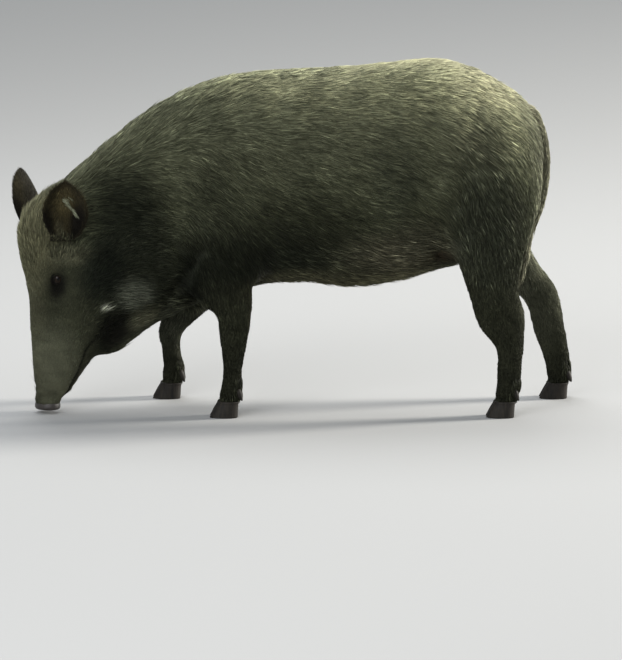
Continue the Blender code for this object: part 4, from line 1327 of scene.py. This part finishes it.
def build_eyes(settings):
    """Two balls: the radius grows by a soft bulge over the iris, which has spokes and a
    wide flat pupil."""
    finish = eye_material()
    tilt = np.linspace(0.0, math.pi, 49)[1:-1]
    turn = full_turn(64)
    radius = EYE_RADIUS * (1 + settings.bulge * bell(tilt, 0.42))
    ahead = (radius * np.cos(tilt))[:, None]
    aside = (radius * np.sin(tilt))[:, None]
    rings = np.stack([ahead + 0 * turn, aside * np.cos(turn), aside * np.sin(turn)], -1)
    points, faces = capped(rings)
    x, wide, high = points.T
    front = x > 0
    pupil = fade(np.sqrt((wide / PUPIL_HALF[0]) ** 2 + (high / PUPIL_HALF[1]) ** 2), 1.15, 0.9)
    iris = fade(np.hypot(wide, high), 0.0090, 0.0078) * front
    spokes = 1.0 + 0.25 * np.sin(np.arctan2(high, wide) * 23)
    colour = np.array(EYE_DARK) * (1 - iris)[:, None] \
        + np.array(IRIS_COLOUR) * (iris * spokes)[:, None]
    colour = colour * (1 - 0.96 * pupil * front)[:, None]
    for name, hand in (("eye_left", 1), ("eye_right", -1)):
        centre, axes = eye_frame(hand)
        eye = closed_piece("ball_" + name, centre + points @ axes, faces, finish, colour)
        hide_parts(name)


def hoof_shape(foot, outwards):
    """One toe: its outline grows from crown to sole and slides forwards; growth rings run
    round it, the edge of the sole is rounded and the crown ends in a soft band."""
    rows = np.array(TOE_OUTLINE)
    closed = through(np.vstack([rows[-1:], rows, rows[:2]]), 6)[6:-7]
    height = np.concatenate([[0.0, 0.0003, 0.0012, 0.003], np.linspace(0.005, TOE_TOP, 24)])
    edge = np.concatenate([[0.93, 0.97, 0.995, 1.0], np.ones(24)])
    share = np.interp(height, (0.0, 0.004, 0.020, TOE_TOP), (0.0, 0.10, 0.52, 1.0))
    growth = 1.0 + 0.005 * np.sin(height * 1300) * fade(height, 0.004, 0.010)
    band = 1.0 + 0.06 * bell(height - 0.0335, 0.0022)
    size = edge * growth * band * 0.985
    long = (0.0310 - 0.0090 * share) * size
    wide = (0.0130 - 0.0018 * share) * size
    ahead = 0.0110 * (1.0 - share)
    x = foot[0] - ahead[:, None] - long[:, None] * closed[None, :, 0]
    y = foot[1] + outwards * (TOE_GAP + wide[:, None] * closed[None, :, 1])
    z = height[:, None] + 0 * x
    return np.stack([x, y, z], -1) + SHIFT


def dewclaw_shape(foot, outwards):
    """A small blunt claw behind the foot: round rings along a short axis that bends
    backwards, widest above its middle."""
    share = np.linspace(0.03, 0.985, 22)
    turn = full_turn(28)
    swell = np.sqrt(1 - (2 * share - 1) ** 2) * (1.15 - 0.55 * share)
    swell = swell * (1 + 0.012 * np.sin(share * 55))
    z = 0.0515 + 0.0145 * (1 - 2 * share)
    x = foot[0] + 0.0195 + 0.0095 * share ** 1.5
    ring_x = x[:, None] + 0.0078 * swell[:, None] * np.cos(turn)
    ring_y = foot[1] + outwards * (0.0135 + 0.0030 * share[:, None]) \
        + 0.0074 * swell[:, None] * np.sin(turn)
    return np.stack([ring_x, ring_y, z[:, None] + 0 * ring_x], -1) + SHIFT


def build_horn(settings):
    """The toes' horn and the dewclaws of the four feet."""
    finish = horn_material(settings)
    for foot, middle in FEET.items():
        side = -1 if foot.endswith("left") else 1
        for place, outwards in (("outer", side), ("inner", -side)):
            for kind, shape in (("hoof", hoof_shape), ("dewclaw", dewclaw_shape)):
                node = f"{kind}_{foot}_{place}"
                points, faces = capped(shape(middle, outwards))
                piece = closed_piece("horn_" + node, points, faces, finish)
                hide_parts(node)


def build_snout(settings):
    """The snout's disc: rings from the middle of its face over a rounded rim to its back,
    with two deep oval nostrils, a raised rim and a shallow middle furrow."""
    turn = full_turn(120)
    flat = np.linspace(0.02, 0.88, 43)
    rows = np.vstack([np.stack([flat, np.full(43, DISC_FACE)], 1), DISC_RIM])
    share, along = rows[:, 0], rows[:, 1]
    side = share[:, None] * DISC_HALF[0] * np.cos(turn)
    dorsal = share[:, None] * DISC_HALF[1] * np.sin(turn) + 0.0010
    face = fade(share, 0.99, 0.93)[:, None]
    level = along[:, None] + 0 * side
    beside = np.abs(side) - NOSTRIL_ASIDE
    above = dorsal - 0.0010 + 0.18 * beside
    hole = np.sqrt((beside / NOSTRIL_HALF[0]) ** 2 + (above / NOSTRIL_HALF[1]) ** 2)
    level = level + 0.0085 * fade(hole, 1.0, 0.62) * face
    level = level - 0.0011 * bell(hole - 1.28, 0.22) * face
    level = level - 0.0009 * bell(share[:, None] - 0.90, 0.05) * face
    level = level + 0.0009 * bell(side, 0.0016) * face * fade(dorsal, 0.006, -0.004)
    rings = head_point(level, dorsal, side)
    # painted shade inside the nostrils
    dark = (fade(hole, 1.0, 0.6) * face).ravel()
    dark = np.concatenate([dark, dark[:1], dark[-1:]])
    points, faces = capped(rings)
    colour = np.array(SNOUT_COLOUR) * (1 - 0.92 * dark)[:, None]
    colour = colour * (1 + 0.18 * waves(points, 0.012, 31))[:, None]
    piece = closed_piece("snout_disc", points, faces, snout_material(settings),
                         colour)
    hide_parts("snout")


# ---------------------------------------------------------------- materials
def material(name, roughness, specular=0.5, paint=None):
    """A new material; with paint, its colour is the attribute of that name."""
    made = bpy.data.materials.new(name)
    made.use_nodes = True
    tree = made.node_tree
    shader = tree.nodes["Principled BSDF"]
    shader.inputs["Roughness"].default_value = roughness
    shader.inputs["Specular IOR Level"].default_value = specular
    if paint:
        colour = tree.nodes.new("ShaderNodeAttribute")
        colour.attribute_name = paint
        tree.links.new(colour.outputs["Color"], shader.inputs["Base Color"])
    return made, tree, shader


def grained(tree, shader, kind, output, values, strength, distance, stretch=None):
    """A fine texture on Object coordinates, stretched if asked, as a bump. Gives the
    texture's output."""
    place = tree.nodes.new("ShaderNodeTexCoord").outputs["Object"]
    if stretch:
        turn = tree.nodes.new("ShaderNodeMapping")
        turn.inputs["Scale"].default_value = stretch
        tree.links.new(place, turn.inputs["Vector"])
        place = turn.outputs["Vector"]
    grain = tree.nodes.new(kind)
    for name, value in values.items():
        grain.inputs[name].default_value = value
    tree.links.new(place, grain.inputs["Vector"])
    bump = tree.nodes.new("ShaderNodeBump")
    bump.inputs["Strength"].default_value = strength
    bump.inputs["Distance"].default_value = distance
    tree.links.new(grain.outputs[output], bump.inputs["Height"])
    tree.links.new(bump.outputs["Normal"], shader.inputs["Normal"])
    return grain.outputs[output]


def coat_material():
    """Coat: each tuft's own colour, nearly matt. All pieces of the coat share it."""
    found = bpy.data.materials.get("boar_coat")
    return found or material("boar_coat", 0.60, 0.12, "coat_colour")[0]


def skin_material():
    """Skin: the coat's colour, darker, partly the skin's own tone and partly painted shade under
    the hair, with fine fur bump.
    """
    made, tree, shader = material("boar_skin", 0.80, 0.10, "coat_colour")
    # darkened: partly the skin's own tone, partly painted shade under the hair
    dim = tree.nodes.new("ShaderNodeMixRGB")
    dim.blend_type = "MULTIPLY"
    dim.inputs["Fac"].default_value = 1.0
    dim.inputs["Color2"].default_value = (0.60, 0.58, 0.56, 1.0)
    tree.links.new(tree.nodes["Attribute"].outputs["Color"], dim.inputs["Color1"])
    tree.links.new(dim.outputs["Color"], shader.inputs["Base Color"])
    grained(tree, shader, "ShaderNodeTexNoise", "Fac", {"Scale": 900.0, "Detail": 3.0},
            0.5, 0.001)
    return made


def eye_material():
    """Eyes: their own paint under a wet clear coat."""
    made, _, shader = material("boar_eye", 0.20, 0.03, "paint")
    shader.inputs["Coat Weight"].default_value = 0.45
    shader.inputs["Coat IOR"].default_value = 1.33
    shader.inputs["Coat Roughness"].default_value = 0.02
    return made


def horn_material(settings):
    """Horn: dark grey-brown with streaks down the toe and fine scratches."""
    made, tree, shader = material("boar_horn", 0.62, 0.22)
    streaks = grained(tree, shader, "ShaderNodeTexNoise", "Fac",
                      {"Scale": 260.0, "Detail": 5.0}, settings.grain, 0.0006,
                      stretch=(1.0, 1.0, 0.12))
    ramp = tree.nodes.new("ShaderNodeValToRGB")
    for stop, place, colour in zip(ramp.color_ramp.elements, (0.32, 0.72),
                                   ((0.007, 0.006, 0.005, 1.0), (0.024, 0.020, 0.015, 1.0))):
        stop.position, stop.color = place, colour
    tree.links.new(streaks, ramp.inputs["Fac"])
    tree.links.new(ramp.outputs["Color"], shader.inputs["Base Color"])
    return made


def snout_material(settings):
    """Snout: moist dark leather with fine cells."""
    made, tree, shader = material("boar_snout", 0.48, paint="paint")
    grained(tree, shader, "ShaderNodeTexVoronoi", "Distance", {"Scale": 520.0},
            settings.grain, 0.0006)
    return made


# ---------------------------------------------------------------- stage
FLOOR_HALF = 30.0
FLOOR_COLOUR = (0.395, 0.398, 0.398, 1.0)
SKY_COLOUR = (0.90, 0.95, 1.0, 1.0)
WARM, PLAIN = (1.0, 0.96, 0.88), (1.0, 1.0, 1.0)
# Name, place, size and colour of each soft light; all of them aim at LIT.
LAMPS = (
    ("key", (9.72, 2.16, 4.22), 2.16, WARM),    # behind the rump, high
    ("top", (-0.3, 1.7, 3.8), 2.5, PLAIN),      # overhead
    ("fill", (-2.4, -5.0, 3.0), 3.5, PLAIN),    # beside the camera
    ("rim", (10.8, 2.16, 1.88), 1.44, WARM),    # behind the tail, low
)
LIT = Vector((0.0, 0.0, 0.35))
CAMERA_RISE = math.radians(10)
CAMERA_AWAY = 12.0          # from the camera to the point that it looks at
CAMERA_AIM = Vector((0.0457 + SHIFT[0], SHIFT[1], 0.17))
SENSOR = 36.0
FRAME_HEIGHT = 660.0 / 460.0    # metres that the frame's height takes in at that point


def light_stage(settings):
    """A plain pale floor, soft lights from behind, above and beside the camera, and the
    camera itself."""
    floor = mesh_object("floor", FLOOR_HALF * np.array(((-1, -1, 0), (1, -1, 0), (-1, 1, 0),
                                                        (1, 1, 0))), np.array(((0, 1, 3, 2),)))
    made, _, shader = material("floor_pale", 0.9)
    shader.inputs["Base Color"].default_value = FLOOR_COLOUR
    floor.data.materials.append(made)
    for name, place, size, colour in LAMPS:
        light = bpy.data.lights.new(name, "AREA")
        light.energy = getattr(settings, name)
        light.color = colour
        light.size = size
        lamp = in_scene(bpy.data.objects.new(name, light))
        lamp.location = place
        lamp.rotation_euler = (LIT - Vector(place)).to_track_quat("-Z", "Y").to_euler()
    world = bpy.data.worlds.new("pale")
    world.use_nodes = True
    sky = world.node_tree.nodes["Background"]
    sky.inputs["Color"].default_value = SKY_COLOUR
    sky.inputs["Strength"].default_value = settings.sky
    bpy.context.scene.world = world
    bpy.context.scene.view_settings.view_transform = "Standard"
    camera = bpy.data.cameras.new("camera")
    camera.sensor_width = SENSOR
    camera.lens = CAMERA_AWAY * SENSOR / FRAME_HEIGHT
    viewer = in_scene(bpy.data.objects.new("camera", camera))
    back = Vector((0.0, -math.cos(CAMERA_RISE), math.sin(CAMERA_RISE)))
    viewer.location = CAMERA_AIM + back * CAMERA_AWAY
    viewer.rotation_euler = (-back).to_track_quat("-Z", "Y").to_euler()
    bpy.context.scene.camera = viewer


# ---------------------------------------------------------------- add-on
class BoarSkinSettings(bpy.types.PropertyGroup):
    """Settings of the skin"""
    cell: bpy.props.FloatProperty(
        name="Cell", description="Cell of the remesh that fuses the flesh", default=0.0072,
        min=0.005, max=0.012, precision=4, subtype="DISTANCE", unit="LENGTH")
    smoothing: bpy.props.IntProperty(
        name="Smoothing", description="Rounds of smoothing after the remesh", default=18,
        min=2, max=40)


class BoarCoatSettings(bpy.types.PropertyGroup):
    """Settings of the coat's tufts"""
    cover: bpy.props.FloatProperty(
        name="Cover", description="Layers of hair over each spot of the body", default=4.25,
        min=1.0, max=8.0)
    width: bpy.props.FloatProperty(
        name="Width", description="Width of the tufts against the drawn one", default=0.95,
        min=0.4, max=2.0)
    lift: bpy.props.FloatProperty(
        name="Lift", description="How far the tufts stand out against the drawn lift",
        default=0.85, min=0.2, max=2.5)
    clump: bpy.props.FloatProperty(
        name="Clumping", description="How far the tips of a lock draw together", default=0.38,
        min=0.0, max=1.0, subtype="FACTOR")


class BoarHairSettings(bpy.types.PropertyGroup):
    """Settings of the longer hair"""
    length: bpy.props.FloatProperty(
        name="Length", description="Length of the longer hair against the drawn one",
        default=1.0, min=0.5, max=2.0)


class BoarEyeSettings(bpy.types.PropertyGroup):
    """Settings of the eyes"""
    bulge: bpy.props.FloatProperty(
        name="Bulge", description="Bulge over the iris as a share of the radius", default=0.045,
        min=0.0, max=0.15, subtype="FACTOR")


class BoarHornSettings(bpy.types.PropertyGroup):
    """Settings of horn and snout"""
    grain: bpy.props.FloatProperty(
        name="Grain", description="Strength of the grain in horn and snout", default=0.5,
        min=0.0, max=1.0, subtype="FACTOR")


class BoarStageSettings(bpy.types.PropertyGroup):
    """Settings of the lights"""
    key: bpy.props.FloatProperty(
        name="Key", description="Power of the light behind the rump", default=1720.0, min=0.0,
        unit="POWER")
    top: bpy.props.FloatProperty(
        name="Top", description="Power of the light overhead", default=90.0, min=0.0,
        unit="POWER")
    fill: bpy.props.FloatProperty(
        name="Fill", description="Power of the soft light beside the camera", default=212.0,
        min=0.0, unit="POWER")
    rim: bpy.props.FloatProperty(
        name="Rim", description="Power of the light straight behind the tail", default=780.0,
        min=0.0, unit="POWER")
    sky: bpy.props.FloatProperty(
        name="Sky", description="Strength of the light from all round", default=0.55, min=0.0)


class BOAR_OT_skin(bpy.types.Operator):
    """Builds the skin with its folds, ears, lids and tail"""
    bl_idname = "boar.skin"
    bl_label = "Build the skin"

    def execute(self, context):
        build_skin(context.scene.boar_skin)
        return {"FINISHED"}


class BOAR_OT_coat(bpy.types.Operator):
    """Combs the short coat over the skin, area by area"""
    bl_idname = "boar.coat"
    bl_label = "Comb the coat"

    def execute(self, context):
        comb_coat(context.scene.boar_coat)
        return {"FINISHED"}


class BOAR_OT_hair(bpy.types.Operator):
    """Adds the longer hair of crest, tail, ears, jaw and muzzle"""
    bl_idname = "boar.hair"
    bl_label = "Add the longer hair"

    def execute(self, context):
        longer_hair(context.scene.boar_hair)
        return {"FINISHED"}


class BOAR_OT_eyes(bpy.types.Operator):
    """Sets both eyes"""
    bl_idname = "boar.eyes"
    bl_label = "Set the eyes"

    def execute(self, context):
        build_eyes(context.scene.boar_eyes)
        return {"FINISHED"}


class BOAR_OT_horn(bpy.types.Operator):
    """Shapes the toes' horn and the dewclaws"""
    bl_idname = "boar.horn"
    bl_label = "Shape the horn"

    def execute(self, context):
        build_horn(context.scene.boar_horn)
        return {"FINISHED"}


class BOAR_OT_snout(bpy.types.Operator):
    """Shapes the snout's disc"""
    bl_idname = "boar.snout"
    bl_label = "Shape the snout"

    def execute(self, context):
        build_snout(context.scene.boar_horn)
        return {"FINISHED"}


class BOAR_OT_stage(bpy.types.Operator):
    """Lays the floor and sets lights and camera"""
    bl_idname = "boar.stage"
    bl_label = "Light the stage"

    def execute(self, context):
        light_stage(context.scene.boar_stage)
        return {"FINISHED"}


class BOAR_PT_panel(bpy.types.Panel):
    """Settings and steps of the boar"""
    bl_idname = "BOAR_PT_panel"
    bl_label = "Wild boar"
    bl_space_type = "VIEW_3D"
    bl_region_type = "UI"
    bl_category = "Boar"

    def draw(self, context):
        for owner, step in STEPS:
            box = self.layout.box()
            group = getattr(context.scene, owner)
            for name in group.__annotations__:
                box.prop(group, name)
            box.operator(step)


# The settings and the operator of each step, in the panel's order.
STEPS = (
    ("boar_skin", "boar.skin"), ("boar_coat", "boar.coat"), ("boar_hair", "boar.hair"),
    ("boar_eyes", "boar.eyes"), ("boar_horn", "boar.horn"), ("boar_horn", "boar.snout"),
    ("boar_stage", "boar.stage"),
)
GROUPS = {
    "boar_skin": BoarSkinSettings, "boar_coat": BoarCoatSettings, "boar_hair": BoarHairSettings,
    "boar_eyes": BoarEyeSettings, "boar_horn": BoarHornSettings, "boar_stage": BoarStageSettings,
}
CLASSES = (*GROUPS.values(), BOAR_OT_skin, BOAR_OT_coat, BOAR_OT_hair, BOAR_OT_eyes,
           BOAR_OT_horn, BOAR_OT_snout, BOAR_OT_stage, BOAR_PT_panel)


def register():
    """Registers the classes and hangs the settings on the scene."""
    for kind in CLASSES:
        bpy.utils.register_class(kind)
    for name, kind in GROUPS.items():
        setattr(bpy.types.Scene, name, bpy.props.PointerProperty(type=kind))


def unregister():
    """Takes away what register() adds."""
    for name in GROUPS:
        delattr(bpy.types.Scene, name)
    for kind in reversed(CLASSES):
        bpy.utils.unregister_class(kind)


def main():
    register()
    bpy.ops.boar.skin()
    bpy.ops.boar.coat()
    bpy.ops.boar.hair()
    bpy.ops.boar.eyes()
    bpy.ops.boar.horn()
    bpy.ops.boar.snout()
    bpy.ops.boar.stage()


if __name__ == "__main__":
    main()
